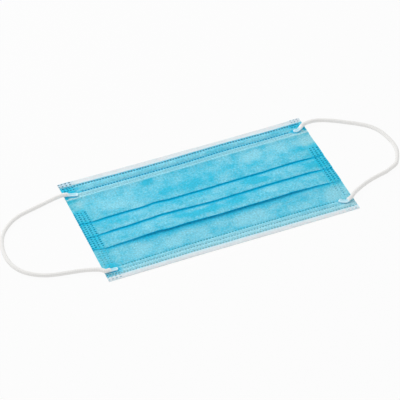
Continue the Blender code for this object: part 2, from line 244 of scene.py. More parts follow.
# Centreline of each ear cord between its two welded ends, from the nose edge round to the chin edge
LOOP_ROUTES = {
    "left": (
        (-0.0952, 0.0345, 0.00245), (-0.1022, 0.0336, 0.00155), (-0.1113, 0.0316, 0.0014),
        (-0.1191, 0.0296, 0.0014), (-0.1252, 0.0268, 0.0014), (-0.1309, 0.0225, 0.0014),
        (-0.1354, 0.0173, 0.0014), (-0.1387, 0.0106, 0.0014), (-0.1405, 0.0022, 0.0014),
        (-0.1405, -0.0049, 0.0014), (-0.1389, -0.0123, 0.0014), (-0.1353, -0.0187, 0.0014),
        (-0.1305, -0.0232, 0.0014), (-0.1243, -0.0269, 0.0014), (-0.1181, -0.0290, 0.0014),
        (-0.1096, -0.0307, 0.00145), (-0.1020, -0.0321, 0.00155), (-0.0953, -0.0343, 0.00205),
        (-0.0893, -0.0372, 0.0025),
    ),
    "right": (
        (0.0939, 0.0396, 0.00245), (0.1006, 0.0389, 0.00155), (0.1068, 0.0362, 0.0014),
        (0.1151, 0.0310, 0.0014), (0.1222, 0.0262, 0.0014), (0.1285, 0.0208, 0.0014),
        (0.1326, 0.0143, 0.0014), (0.1347, 0.0063, 0.0014), (0.1355, -0.0008, 0.0014),
        (0.1345, -0.0077, 0.0014), (0.1315, -0.0142, 0.0014), (0.1279, -0.0191, 0.0014),
        (0.1236, -0.0213, 0.0014), (0.1187, -0.0234, 0.0014), (0.1120, -0.0249, 0.0014),
        (0.1049, -0.0269, 0.00145), (0.0956, -0.0309, 0.00175), (0.0889, -0.0352, 0.00255),
    ),
}

# Stage: half the floor's side and its level, the soft box, and the camera's lens, in mm, and aim
FLOOR_HALF = 3.0
FLOOR_LEVEL = -0.05 * MM
SOFT_BOX_SIZE = 0.7
SOFT_BOX_PLACE = (-0.45, 0.75, 0.95)
FOCAL_LENGTH = 182.16
SENSOR_WIDTH = 36.0
VIEW_CENTRE = (-0.0058, -0.0003, 0.0)

# Patches of the blue cloth: along, down, half length, half width and strength
Patch = namedtuple("Patch", "along down long wide strength")
# Where the web of fibres is dense, or thin where the strength is below 0; the two at 88.5 down are painted
# light, paler cloth where the bottom cords throw their shadow
WEB_PATCHES = (
    Patch(along=27.0, down=29.0, long=18.0, wide=8.0, strength=-0.40),
    Patch(along=28.0, down=34.8, long=9.0, wide=4.0, strength=-0.80),
    Patch(along=61.0, down=35.0, long=9.0, wide=3.5, strength=0.35),
    Patch(along=8.0, down=23.0, long=8.0, wide=5.0, strength=-0.35),
    Patch(along=45.0, down=18.5, long=7.0, wide=5.0, strength=-0.50),
    Patch(along=56.0, down=20.0, long=8.0, wide=5.0, strength=0.75),
    Patch(along=80.0, down=33.5, long=26.0, wide=8.0, strength=0.55),
    Patch(along=86.0, down=19.0, long=8.0, wide=4.0, strength=0.25),
    Patch(along=106.0, down=28.5, long=14.0, wide=5.0, strength=0.25),
    Patch(along=129.5, down=23.8, long=10.0, wide=7.5, strength=-0.75),
    Patch(along=127.0, down=33.0, long=7.0, wide=8.0, strength=0.35),
    Patch(along=151.0, down=22.0, long=15.0, wide=6.0, strength=-0.35),
    Patch(along=162.0, down=29.5, long=8.0, wide=5.0, strength=0.70),
    Patch(along=170.0, down=21.5, long=10.0, wide=6.5, strength=-0.75),
    Patch(along=25.5, down=47.5, long=8.0, wide=4.5, strength=0.65),
    Patch(along=124.5, down=47.6, long=9.0, wide=4.0, strength=1.10),
    Patch(along=42.0, down=43.0, long=10.0, wide=5.0, strength=-0.45),
    Patch(along=68.0, down=44.5, long=16.0, wide=5.0, strength=0.35),
    Patch(along=118.0, down=46.0, long=10.0, wide=5.5, strength=0.50),
    Patch(along=106.0, down=45.0, long=7.0, wide=5.0, strength=-0.20),
    Patch(along=168.0, down=47.5, long=12.0, wide=5.0, strength=0.95),
    Patch(along=54.0, down=55.0, long=7.0, wide=4.0, strength=-0.45),
    Patch(along=85.0, down=60.5, long=9.0, wide=3.5, strength=0.75),
    Patch(along=71.0, down=60.5, long=14.0, wide=4.5, strength=0.85),
    Patch(along=103.0, down=59.8, long=11.0, wide=5.0, strength=0.90),
    Patch(along=25.0, down=58.5, long=12.0, wide=5.0, strength=-0.20),
    Patch(along=129.0, down=58.0, long=10.0, wide=5.0, strength=-0.60),
    Patch(along=27.0, down=76.0, long=15.0, wide=8.0, strength=-0.50),
    Patch(along=50.0, down=78.5, long=9.0, wide=5.0, strength=-0.85),
    Patch(along=67.0, down=76.0, long=14.0, wide=9.0, strength=-0.35),
    Patch(along=84.0, down=72.0, long=8.0, wide=7.0, strength=-0.45),
    Patch(along=105.0, down=76.0, long=18.0, wide=9.0, strength=-0.60),
    Patch(along=128.0, down=72.0, long=12.0, wide=6.0, strength=-0.10),
    Patch(along=140.0, down=79.0, long=12.0, wide=5.0, strength=-0.50),
    Patch(along=167.0, down=77.5, long=13.0, wide=9.0, strength=-1.00),
    Patch(along=112.0, down=9.8, long=12.0, wide=2.6, strength=0.35),
    Patch(along=154.0, down=9.0, long=12.0, wide=3.0, strength=0.40),
    Patch(along=30.0, down=14.0, long=18.0, wide=2.5, strength=-0.40),
    Patch(along=90.0, down=13.5, long=26.0, wide=2.8, strength=1.00),
    Patch(along=152.0, down=14.0, long=18.0, wide=2.5, strength=-0.50),
    Patch(along=85.0, down=87.0, long=50.0, wide=4.0, strength=-0.65),
    Patch(along=150.0, down=84.5, long=24.0, wide=3.5, strength=0.35),
    Patch(along=51.0, down=13.4, long=12.0, wide=2.2, strength=0.60),
    Patch(along=79.0, down=56.2, long=7.0, wide=3.0, strength=-0.65),
    # Painted light: these two make the cloth paler in the shadow below the bottom cord ends
    Patch(along=4.0, down=88.5, long=7.0, wide=3.0, strength=-0.60),
    Patch(along=170.5, down=88.5, long=7.0, wide=3.0, strength=-1.00),
    Patch(along=165.0, down=7.0, long=8.0, wide=3.0, strength=0.60),
    Patch(along=3.5, down=18.5, long=6.0, wide=3.0, strength=0.60),
    Patch(along=5.0, down=84.3, long=8.0, wide=3.0, strength=0.60),
)
# Where the corner welds pressed the cloth to a dark film, and, at 5.5 and 11.0 along, two painted shadow
# lines above the top left cord end
FILM_PATCHES = (
    Patch(along=3.2, down=7.0, long=6.0, wide=2.6, strength=0.90),
    # Painted shadow: a dark line above the top left cord end
    Patch(along=5.5, down=10.2, long=4.2, wide=1.5, strength=0.95),
    Patch(along=9.0, down=8.6, long=3.5, wide=1.8, strength=0.60),
    # Painted shadow: a dark line above the top left cord end
    Patch(along=11.0, down=11.8, long=4.5, wide=1.0, strength=0.35),
    Patch(along=1.0, down=15.0, long=1.8, wide=1.4, strength=0.95),
    Patch(along=168.8, down=6.6, long=5.0, wide=2.4, strength=0.85),
    Patch(along=165.4, down=11.4, long=1.5, wide=2.0, strength=0.70),
    Patch(along=174.0, down=11.8, long=1.4, wide=1.8, strength=0.95),
    Patch(along=10.2, down=87.8, long=1.6, wide=2.4, strength=0.50),
    Patch(along=4.5, down=90.3, long=5.5, wide=1.4, strength=0.30),
    Patch(along=1.0, down=89.6, long=1.8, wide=1.6, strength=0.50),
    Patch(along=6.3, down=82.2, long=4.2, wide=3.2, strength=0.50),
)
# Where blue film shows through the white strips
HEM_PATCHES = (
    Patch(along=4.0, down=1.5, long=7.5, wide=5.0, strength=0.30),
    Patch(along=171.0, down=1.5, long=6.0, wide=5.0, strength=0.10),
    Patch(along=172.0, down=93.0, long=6.0, wide=4.0, strength=0.08),
)


def smoothstep(low, high, value):
    """0 below low, 1 above high and an S-curve between them."""
    share = min(max((value - low) / (high - low), 0.0), 1.0)
    return share * share * (3.0 - 2.0 * share)


def mix(a, b, share):
    """From a to b by this share."""
    return a + (b - a) * share


def colour(code):
    """Linear colour of an sRGB hex code."""
    shades = [int(code[place:place + 2], 16) / 255 for place in (0, 2, 4)]
    return [s / 12.92 if s <= 0.04045 else ((s + 0.055) / 1.055) ** 2.4 for s in shades]


def bulge(place, rise, full, fall, gone):
    """0 before rise and after gone, and 1 between full and fall."""
    return smoothstep(rise, full, place) * (1.0 - smoothstep(fall, gone, place))


def from_end(x):
    """Distance from the nearer end of the mask."""
    return LENGTH / 2 - abs(x)


def stiff_share(x):
    """1 where the end welds hold the pleats down and 0 where they are open."""
    return 1.0 - smoothstep(WELD_END, OPEN_FROM, from_end(x))


def pressed_share(x):
    """1 where the end welds press the layers to a film."""
    return 1.0 - smoothstep(WELD_END - 0.8 * MM, WELD_END + 0.8 * MM, from_end(x))


def level_at(level, x):
    """Height of one level here, from the open, stiff and pressed ones."""
    return mix(mix(level.open, level.stiff, stiff_share(x)), level.pressed, pressed_share(x))


def cloth_at(cloth, x):
    """Thickness of the cloth at one place along the mask."""
    return cloth * mix(mix(1.0, 0.8, stiff_share(x)), PRESSED_CLOTH, pressed_share(x))


def row_place(row, x):
    """Place at one x on the smooth curve through a row's evenly spaced places."""
    spot = (x / LENGTH + 0.5) * (len(row) - 1)
    first = min(max(int(spot), 0), len(row) - 2)
    share = spot - first
    before, a, b, after = (row[min(max(first + step, 0), len(row) - 1)] for step in (-1, 0, 1, 2))
    bend = (b - before) * share + (2 * before - 5 * a + 4 * b - after) * share**2
    return (a + (bend + (3 * (a - b) + after - before) * share**3) / 2) * MM


def wave(x, pleat):
    """How far a pleat's edge wanders from its mean place."""
    along = x / LENGTH + 0.5
    for before, after in zip(WAVES, WAVES[1:]):
        if along <= after.along:
            break
    share = smoothstep(before.along, after.along, along)
    return HEIGHT * mix(before[pleat + 1], after[pleat + 1], share)


def pleat_edges(x):
    """Places of the pleats' edges down the mask."""
    return [HEIGHT * pleat.edge + wave(x, number) for number, pleat in enumerate(PLEATS)]


def ripple(x, down):
    """Gentle unevenness of cloth that lies loosely, the same for all layers at one place."""
    soft = noise.noise(Vector((x / 0.031, down / 0.019, 3.7)))
    fine = noise.noise(Vector((x / 0.011, down / 0.009, 8.1)))
    loose = mix(0.3, 1.0, smoothstep(17.0 * MM, 23.0 * MM, down)) * (1.0 - stiff_share(x))
    return (0.22 * soft + 0.07 * fine) * MM * loose


def grooves(x, down, rows, depth):
    """How far the rows of welds pull the cloth in."""
    return depth * sum(math.exp(-((down - row_place(row, x)) / (0.95 * MM)) ** 4) for row in rows)


def nose_height(x, down, low, depth):
    """Middle of the cloth over the nose edge: under the white strip, over the wire and down to the flat."""
    first, second, third = (row_place(row, x) for row in NOSE_ROWS)
    cut, strip = first - NOSE_HEM_BEFORE, third + NOSE_STRIP_BEYOND
    height = mix(TUCKED_LEVEL, SEAM_LEVEL, smoothstep(cut - 0.8 * MM, cut + 0.3 * MM, down))
    height = mix(height, low, smoothstep(strip - 0.2 * MM, strip + 2.0 * MM, down))
    ridge = bulge(down, first + 0.5 * MM, first + 2.1 * MM, second - 2.6 * MM, second - 0.5 * MM)
    ridge *= 1.0 - smoothstep(RIDGE_HALF, RIDGE_GONE, abs(x))
    puff = bulge(down, second + 0.4 * MM, second + 1.4 * MM, third - 1.2 * MM, third)
    puff += bulge(down, third + 0.4 * MM, third + 1.0 * MM, third + 1.2 * MM, strip)
    return height + RIDGE_HEIGHT * ridge + NOSE_PUFF * puff - grooves(x, down, NOSE_ROWS, depth)


def chin_height(x, down, low, depth):
    """Middle of the cloth over the chin edge: puffed between the welds, and under the white strip."""
    third, second, first = (row_place(row, x) for row in CHIN_ROWS)
    cut = first + CHIN_HEM_BEYOND
    height = mix(low, CHIN_LEVEL, smoothstep(third - 3.0 * MM, third, down))
    height = mix(height, CHIN_TUCKED, smoothstep(cut - 0.3 * MM, cut + 0.5 * MM, down))
    puff = sum(bulge(down, above + 0.3 * MM, above + 1.5 * MM, below - 1.5 * MM, below)
               for above, below in ((third, second), (second, first)))
    return height + CHIN_PUFF * puff - grooves(x, down, CHIN_ROWS, depth * 0.6)


def spread(start, stop, count):
    """Evenly spaced places after start, up to stop."""
    return [start + (stop - start) * number / count for number in range(1, count + 1)]


def around(place):
    """Places that draw one groove."""
    return [place + step * MM for step in (-1.1, -0.8, -0.4, 0.0, 0.4, 0.8, 1.1)]


def nose_places(x):
    """Places down the nose edge where the cloth is drawn."""
    first, second, third = (row_place(row, x) for row in NOSE_ROWS)
    places = [1.2 * MM, 2.4 * MM, first - 1.8 * MM, *around(first)]
    places += spread(first + 1.1 * MM, second - 1.1 * MM, 12)[:-1] + around(second)
    places += spread(second + 1.1 * MM, third - 1.1 * MM, 5)[:-1] + around(third)
    return places + spread(third + 1.1 * MM, NOSE_END, 9)


def chin_places(x, start):
    """Places down the chin edge where the cloth is drawn."""
    third, second, first = (row_place(row, x) for row in CHIN_ROWS)
    places = spread(start, third - 1.1 * MM, 20)[:-1] + around(third)
    places += spread(third + 1.1 * MM, second - 1.1 * MM, 4)[:-1] + around(second)
    places += spread(second + 1.1 * MM, first - 1.1 * MM, 4)[:-1] + around(first)
    return places + spread(first + 1.1 * MM, HEIGHT - 1.2 * MM, 4)


def crease_shade(beyond, long_fade):
    """Painted shade this far beyond the edge of a fold above: partly the deeper blue of the layers showing
    through, partly the fold's shadow; with a long fade, the soft shadow below the last pleat.
    """
    if long_fade is None:
        near = 0.75 * (1.0 - smoothstep(0.5 * MM, 2.0 * MM, beyond))
        return min(1.0, near + 0.35 * max(0.0, 1.0 - max(beyond, 0.0) / (6.0 * MM)))
    return 0.85 * min(1.0, max(0.0, 1.0 - (beyond - 0.6 * MM) / long_fade))


def pleat_path(x, number, edge, begin, start, flat, cloth):
    """One pleat: up and forward on top, round its edge, back, round its inner fold and forward below.
    Each point is its place down, its height and how much deeper blue and painted shade it has: deeper where
    layers lie on layers, shaded in the creases under and round its edge."""
    pleat = PLEATS[number]
    stiff, pressed = stiff_share(x), pressed_share(x)
    raised = smoothstep(LIFT_START, LIFT_END, from_end(x))
    crease_shade_strength = 1.0 - 0.3 * pressed
    spacing = cloth + FOLD_GAP * (1.0 - 0.8 * pressed)
    centre = edge - spacing / 2 - cloth / 2
    high = level_at(EDGE_TOP, x) - cloth / 2
    lift = HEIGHT * pleat.lift * raised
    climb = (NOSE_END + 1.0 * MM) if number == 0 else begin + 0.4 * MM

    def top(down):
        eased = lift * smoothstep(edge - 12.0 * MM, edge - 1.0 * MM, down)
        return mix(start, high, smoothstep(climb, edge - pleat.arrive, down)) + eased

    # Painted shade in the crease where this layer comes out from under the pleat before, and at the pressed
    # ends a painted dark line along the edge
    def deep_and_crease_shade(down):
        pressed_edge_shade = pressed * smoothstep(edge - 1.5 * MM, edge - 0.5 * MM, down)
        return max(pressed_edge_shade, 0.0 if number == 0 else crease_shade_strength * crease_shade(down - begin - OVERHANG, None))

    points = [(down, top(down), deep_and_crease_shade(down)) for down in spread(begin, centre, 24 if number == 0 else 20)]
    # Painted shade on the front and underside of the fold's edge
    for step in range(1, 8):
        angle = math.pi / 2 - math.pi * step / 8
        height = top(centre) - spacing / 2 + spacing / 2 * math.sin(angle)
        points.append((centre + spacing / 2 * math.cos(angle), height, crease_shade_strength * smoothstep(0.5, 3.5, step)))
    # The layer folded back under the pleat, its inner fold and the layer below, in the pleat's shade, are
    # painted in shade too
    points.append((centre, top(centre) - spacing, crease_shade_strength))
    inner = edge - pleat.depth
    points += [(down, top(down) - spacing, 1.0) for down in spread(centre, inner, 4)]
    half = (top(inner) - spacing - flat) / 2
    for step in range(1, 6):
        angle = math.pi / 2 - math.pi * step / 6
        points.append((inner - 0.55 * MM * math.cos(angle), flat + half + half * math.sin(angle), 1.0))
    points.append((inner, flat, 1.0))
    gap = mix(mix(0.15 * MM, pleat.gap, raised), 0.01 * MM, stiff)
    after = top(centre) - spacing - cloth - gap
    below = spread(inner, edge - OVERHANG, 4)
    points += [(down, mix(flat, after, smoothstep(inner, edge - OVERHANG, down)), crease_shade_strength) for down in below]
    return points, after


def cloth_path(x, cloth, depth):
    """Middle line of the cloth at one place along the mask, as (down, height, deep blue and painted crease
    shade) points.
    """
    flat = level_at(FLAT_LEVEL, x)
    thick = cloth_at(cloth, x)
    points = [(down, nose_height(x, down, flat, depth), 0.0) for down in nose_places(x)]
    begin, start = NOSE_END, flat
    for number, edge in enumerate(pleat_edges(x)):
        pleat, start = pleat_path(x, number, edge, begin, start, flat, thick)
        points += pleat
        begin = edge - OVERHANG
    # Painted soft shadow below the last pleat's edge, longer in the middle where that pleat stands up
    shadow_fade = mix(1.8, 4.6, smoothstep(LIFT_START, LIFT_END, from_end(x))) * MM
    crease_shade_strength = 1.0 - 0.3 * pressed_share(x)
    for down in chin_places(x, begin):
        falling = (start - flat) * (1.0 - smoothstep(begin + 1.0 * MM, begin + 8.0 * MM, down))
        deep_and_crease_shade = crease_shade_strength * crease_shade(down - begin - OVERHANG, shadow_fade)
        points.append((down, chin_height(x, down, flat, depth) + falling, deep_and_crease_shade))
    return [(down, height + ripple(x, down), deep_and_crease_shade) for down, height, deep_and_crease_shade in points]


def stations():
    """Places along the mask where its cloth is drawn: close together at the ends."""
    end, close, near = -LENGTH / 2, -LENGTH / 2 + CLOSE_STEPS, -LENGTH / 2 + NEAR_STEPS
    left = [end] + spread(end, close, 20) + spread(close, near, 14)
    middle = spread(near, -near, 106)[:-1]
    return left + middle + [-place for place in reversed(left)]


def offset(path, distance):
    """A path moved sideways, to the side of the cloth's outside where the distance is positive."""
    moved = []
    for number, point in enumerate(path):
        before = path[max(number - 1, 0)]
        after = path[min(number + 1, len(path) - 1)]
        run = math.hypot(after[0] - before[0], after[1] - before[1])
        across = (after[1] - before[1]) / run
        moved.append((point[0] - distance * across, point[1] + distance * (after[0] - before[0]) / run))
    return moved


def patch_share(patches, x, down, soft):
    """Strongest of the patches at one place, fading over their outer part."""
    along = (x + LENGTH / 2) / MM
    share = 0.0
    for patch in patches:
        reach = math.hypot((along - patch.along) / patch.long, (down / MM - patch.down) / patch.wide)
        here = patch.strength * (1.0 - smoothstep(soft, 1.25, reach))
        share = here if abs(here) > abs(share) else share
    return share


def web_share(x, down):
    """How dense the web is at one place: the sum of its patches."""
    along = (x + LENGTH / 2) / MM
    share = 0.0
    for patch in WEB_PATCHES:
        reach = math.hypot((along - patch.along) / patch.long, (down / MM - patch.down) / patch.wide)
        share += patch.strength * (1.0 - smoothstep(0.1, 1.2, reach))
    return share


def halo_film_and_shadow(x, down):
    """How dark the cloth round the welded cord ends is at one place: partly film that the welds pressed,
    partly painted shadow round the ends.
    """
    spot = Vector((x, HEIGHT / 2 - down))
    share = 0.0
    for corner in WELD_ENDS:
        centres = [point.xy for point in weld_points(corner, CORD)]
        if (centres[0] - spot).length > 20 * MM:
            continue
        for a, b in zip(centres[:3], centres[1:4]):
            along = min(max((spot - a).dot(b - a) / (b - a).length_squared, 0.0), 1.0)
            reach = (spot - a.lerp(b, along)).length
            here = WELD_HALO_AND_SHADOW[corner] * (1.0 - smoothstep(HALO_FULL, HALO_GONE, reach))
            # The square end has no halo before its tip
            if corner == SQUARE_END:
                here *= smoothstep(-0.2 * MM, 1.2 * MM, centres[0].x - spot.x)
            share = max(share, here)
    return share


def deep_share(x, down):
    """How much the rows and columns of welds deepen the blue of the cloth at one place."""
    share = 0.0
    for row, strength in zip(NOSE_ROWS + CHIN_ROWS, ROW_TINTS):
        share = max(share, strength * math.exp(-((down - row_place(row, x)) / (0.70 * MM)) ** 2))
    return share


def column_share(x, down):
    """How much the end welds have pressed the cloth between their marks to a film at one place."""
    ends = pressed_share(x)
    ends *= smoothstep(26.5 * MM, 29.5 * MM, down) * (1.0 - smoothstep(80.5 * MM, 82.5 * MM, down))
    return ends * mix(0.60, 0.08, smoothstep(64.5 * MM, 66.0 * MM, down))


def backed_share(x, down):
    """How much the white strips below lighten the blue cloth at one place."""
    nose_strip = row_place(NOSE_ROWS[2], x) + NOSE_STRIP_BEYOND
    chin_strip, second = row_place(CHIN_ROWS[0], x) + 0.4 * MM, row_place(CHIN_ROWS[1], x)
    nose = 1.0 - smoothstep(nose_strip - 0.5 * MM, nose_strip + 0.4 * MM, down)
    nose *= mix(0.35, 1.2, smoothstep(9.0 * MM, 15.0 * MM, down)) * mix(1.0, 1.35, stiff_share(x))
    chin = smoothstep(chin_strip - 0.3 * MM, chin_strip + 0.3 * MM, down)
    chin *= mix(0.80, 1.35, smoothstep(second - 0.3 * MM, second + 0.6 * MM, down))
    return max(nose, chin)


def link(name, mesh, finish):
    """Object with one finish in the scene's own collection."""
    mesh.materials.append(finish)
    thing = bpy.data.objects.new(name, mesh)
    bpy.context.scene.collection.objects.link(thing)
    return thing


def write_attribute(mesh, name, kind, values):
    """Gives a mesh one value at each of its points."""
    attribute = mesh.attributes.new(name, kind, "POINT")
    attribute.data.foreach_set({"FLOAT_VECTOR": "vector", "FLOAT_COLOR": "color"}.get(kind, "value"), values)


def sheet_mesh(name, front, back):
    """Closed thin sheet between two grids of points."""
    rows, columns = len(front), len(front[0])
    count = rows * columns
    faces = []
    for r in range(rows - 1):
        for c in range(columns - 1):
            a, b = r * columns + c, (r + 1) * columns + c
            faces.append((a, a + 1, b + 1, b))
            faces.append((a + count, b + count, b + 1 + count, a + 1 + count))
    last = (rows - 1) * columns
    for c in range(columns - 1):
        faces.append((c + 1, c, c + count, c + 1 + count))
        faces.append((last + c, last + c + 1, last + c + 1 + count, last + c + count))
    for r in range(rows - 1):
        a, b = r * columns, (r + 1) * columns
        faces.append((a, b, b + count, a + count))
        a, b = a + columns - 1, b + columns - 1
        faces.append((b, a, a + count, b + count))
    mesh = bpy.data.meshes.new(name)
    mesh.from_pydata([point for row in front + back for point in row], [], faces)
    mesh.shade_smooth()
    mesh.set_sharp_from_angle(angle=math.radians(50))
    return mesh


def place(x, down, height):
    """World point of a place on the mask."""
    return (x, HEIGHT / 2 - down, height)


def ply(name, cloth, depth, near, far, finish):
    """One ply of the folded cloth, between two distances from its middle, as shares of its thickness."""
    places = stations()
    front, back, spots = [], [], []
    shares = {kind: [] for kind in ("backed", "film", "deep_and_crease_shade", "web", "pressed")}
    flat = 0.0
    for x in places:
        thick = cloth_at(cloth, x)
        path = cloth_path(x, cloth, depth)
        front.append([place(x, down, height) for down, height in offset(path, far * thick)])
        back.append([place(x, down, height) for down, height in offset(path, near * thick)])
        run = 0.0
        for number, (down, height, deep_and_crease_shade) in enumerate(path):
            if number:
                run += math.hypot(down - path[number - 1][0], height - path[number - 1][1])
            spots += [x / MM, run / MM, 0.0]
            # Film holds weld film and the painted shadow round the cord ends
            film = max(patch_share(FILM_PATCHES, x, down, 0.65), halo_film_and_shadow(x, down), column_share(x, down))
            shares["backed"].append(backed_share(x, down))
            shares["film"].append(film)
            # Deeper blue of layered cloth and weld rows, with painted shade in the creases
            shares["deep_and_crease_shade"].append(max(deep_and_crease_shade, deep_share(x, down)))
            shares["web"].append(web_share(x, down))
            shares["pressed"].append(pressed_share(x))
        flat += run / len(places)
    mesh = sheet_mesh(name, front, back)
    write_attribute(mesh, "place", "FLOAT_VECTOR", spots * 2)
    for kind, values in shares.items():
        write_attribute(mesh, kind, "FLOAT", values * 2)
    return link(name, mesh, finish), flat


def hem_path(x, shows, leg, top, inset, cloth):
    """Middle line of an edge strip: from its cut edge on top, round the mask's edge and back below."""
    near_end = 1.0 - smoothstep(4.0 * MM, 14.0 * MM, from_end(x))
    top = top - cloth / 2
    below = cloth / 2
    if top > 1.15 * MM:
        below = mix(below, min(0.6 * MM, top - 0.8 * MM + cloth / 2), near_end)
    radius = min(0.9 * MM, (top - below) * 0.8)
    turn = radius + inset
    points = []
    for step in range(7):
        points.append((shows - step * (shows - turn) / 6, top - 0.12 * (top - below) * (step / 6) ** 2))
    high = points[-1][1]
    middle, half = (high + below) / 2, (high - below) / 2
    for step in range(1, 10):
        angle = math.pi / 2 + math.pi * step / 10
        points.append((turn + (radius - cloth / 2) * math.cos(angle), middle + half * math.sin(angle)))
    points.append((turn, below))
    return points + [(down, below) for down in spread(turn, leg, 10)]


def edge_strip(name, shows, leg, top, inset, flip, cloth, finish):
    """White strip folded round one long edge of the mask, its places counted from the nearer edge."""

    def across(down):
        return HEIGHT - down if flip else down

    front, back, spots, backed, film = [], [], [], [], []
    ends = stations()[::2]
    for x in ends:
        path = hem_path(x, shows(x), leg(x), top, row_place(inset, x), cloth)
        sink = []
        for down, height in path:
            loose = smoothstep(0.4 * MM, 1.2 * MM, height)
            sink.append((down, height + ripple(x, across(down)) * loose))
        for side, distance in ((front, cloth / 2), (back, -cloth / 2)):
            moved = offset([(-down, height) for down, height in sink], distance)
            moved = [(-down, height) for down, height in moved]
            side.append([place(x, across(down), max(height, 0.0)) for down, height in moved])
        run = 0.0
        for number, (down, height) in enumerate(sink):
            if number:
                run += math.hypot(down - sink[number - 1][0], height - sink[number - 1][1])
            # The strips' web is read 200 mm further on, so that it differs from the sheet's
            spots += [x / MM, run / MM + 200.0, 0.0]
            backed.append(1.0 - smoothstep(0.0, 2.4 * MM, run))
            film.append(patch_share(HEM_PATCHES, x, across(down), 0.3))
    if not flip:
        front, back = [row[::-1] for row in front], [row[::-1] for row in back]
        rows = len(backed) // len(ends)
        order = [r * rows + c for r in range(len(ends)) for c in reversed(range(rows))]
        backed, film = ([shares[number] for number in order] for shares in (backed, film))
        spots = [value for number in order for value in spots[3 * number:3 * number + 3]]
    mesh = sheet_mesh(name, front, back)
    write_attribute(mesh, "place", "FLOAT_VECTOR", spots * 2)
    write_attribute(mesh, "backed", "FLOAT", backed * 2)
    write_attribute(mesh, "film", "FLOAT", film * 2)
    return link(name, mesh, finish), run


def weld_points(corner, diameter):
    """Centres of the sections of one welded cord end."""
    edge, end = corner.split("_")
    side = -1 if end == "left" else 1
    points = []
    for row in WELD_ENDS[corner]:
        down = row.aside if edge == "top" else HEIGHT - row.aside
        height = WELD_BASE[edge] + row.thickness * diameter / 2
        points.append(Vector(place(side * (LENGTH / 2 - row.inward), down, height)))
    return points


def smooth_curve(points, step):
    """Evenly spaced points on a smooth curve through the given ones."""
    padded = [points[0] * 2 - points[1], *points, points[-1] * 2 - points[-2]]
    fine = []
    for p0, p1, p2, p3 in zip(padded, padded[1:], padded[2:], padded[3:]):
        t1, t2, t3 = (math.sqrt((b - a).length) for a, b in ((p0, p1), (p1, p2), (p2, p3)))
        leave = ((p1 - p0) / t1 - (p2 - p0) / (t1 + t2) + (p2 - p1) / t2) * t2
        arrive = ((p2 - p1) / t2 - (p3 - p1) / (t2 + t3) + (p3 - p2) / t3) * t2
        for part in range(40):
            s = part / 40
            fine.append(p1 * (2 * s**3 - 3 * s**2 + 1) + leave * (s**3 - 2 * s**2 + s)
                        + p2 * (3 * s**2 - 2 * s**3) + arrive * (s**3 - s**2))
    fine.append(points[-1])
    travelled = [0.0]
    for a, b in zip(fine, fine[1:]):
        travelled.append(travelled[-1] + (b - a).length)
    count = round(travelled[-1] / step)
    spaced = []
    index = 0
    for number in range(count + 1):
        target = travelled[-1] * number / count
        while index < len(fine) - 2 and travelled[index + 1] < target:
            index += 1
        share = (target - travelled[index]) / (travelled[index + 1] - travelled[index])
        spaced.append(fine[index].lerp(fine[index + 1], share))
    return spaced


def tube_mesh(name, rings, values):
    """Closed tube through rings of points, with the values of each ring's points."""
    sides = len(rings[0])
    faces = []
    for r in range(len(rings) - 1):
        for c in range(sides):
            after = (c + 1) % sides
            faces.append((r * sides + c, r * sides + after, (r + 1) * sides + after, (r + 1) * sides + c))
    last = (len(rings) - 1) * sides
    faces.append(tuple(reversed(range(sides))))
    faces.append(tuple(last + c for c in range(sides)))
    mesh = bpy.data.meshes.new(name)
    mesh.from_pydata([point for ring in rings for point in ring], [], faces)
    mesh.shade_smooth()
    mesh.set_sharp_from_angle(angle=math.radians(60))
    write_attribute(mesh, "place", "FLOAT_VECTOR", [v for value in values for v in value[:3]])
    write_attribute(mesh, "rim", "FLOAT", [value[3] for value in values])
    write_attribute(mesh, "melted", "FLOAT", [value[4] for value in values])
    return mesh


def ear_cord(side, sizes, finish):
    """Round knitted cord from one welded end to the other."""
    ends = []
    for edge in ("top", "bottom"):
        tail, tip = weld_points(f"{edge}_{side}", sizes.diameter)[-2:]
        out = Vector((tip.x - tail.x, tip.y - tail.y, 0.0)).normalized()
        ends.append([tip, tip + out * sizes.diameter])
    route = [Vector(point) for point in LOOP_ROUTES[side]]
    path = smooth_curve([*ends[0], *route, *reversed(ends[1])], CORD_STEP)
    radius = sizes.diameter / 2
    rings, values = [], []
    run = 0.0
    for number, centre in enumerate(path):
        before, after = path[max(number - 1, 0)], path[min(number + 1, len(path) - 1)]
        run += (centre - before).length
        along = (after - before).normalized()
        across = Vector((-along.y, along.x, 0.0)).normalized()
        up = along.cross(across)
        reach = min(number, len(path) - 1 - number) * CORD_STEP
        knit = sizes.rib * smoothstep(0.5 * MM, 3.0 * MM, reach)
        swell = 1.0 + 0.03 * noise.noise(Vector((run / 0.009, 4.0 if side == "left" else 9.0, 0.0)))
        ring = []
        for step in range(CORD_SIDES):
            angle = 2 * math.pi * step / CORD_SIDES
            wale = abs((WALES * step / CORD_SIDES) % 1.0 - 0.5) * 2
            stitch = math.sin(2 * math.pi * (run / sizes.stitch + 0.5 * wale))
            size = radius * swell * 0.985 + knit * (0.5 * stitch - 0.6 * (1 - wale) ** 3)
            ring.append(centre + across * math.cos(angle) * size + up * math.sin(angle) * size)
            values.append((angle * radius / MM, run / MM, 0.0, 0.0, 0.0))
        rings.append(ring)
    return link(f"ear_cord_{side}", tube_mesh(f"ear_cord_{side}", rings, values), finish), path, run


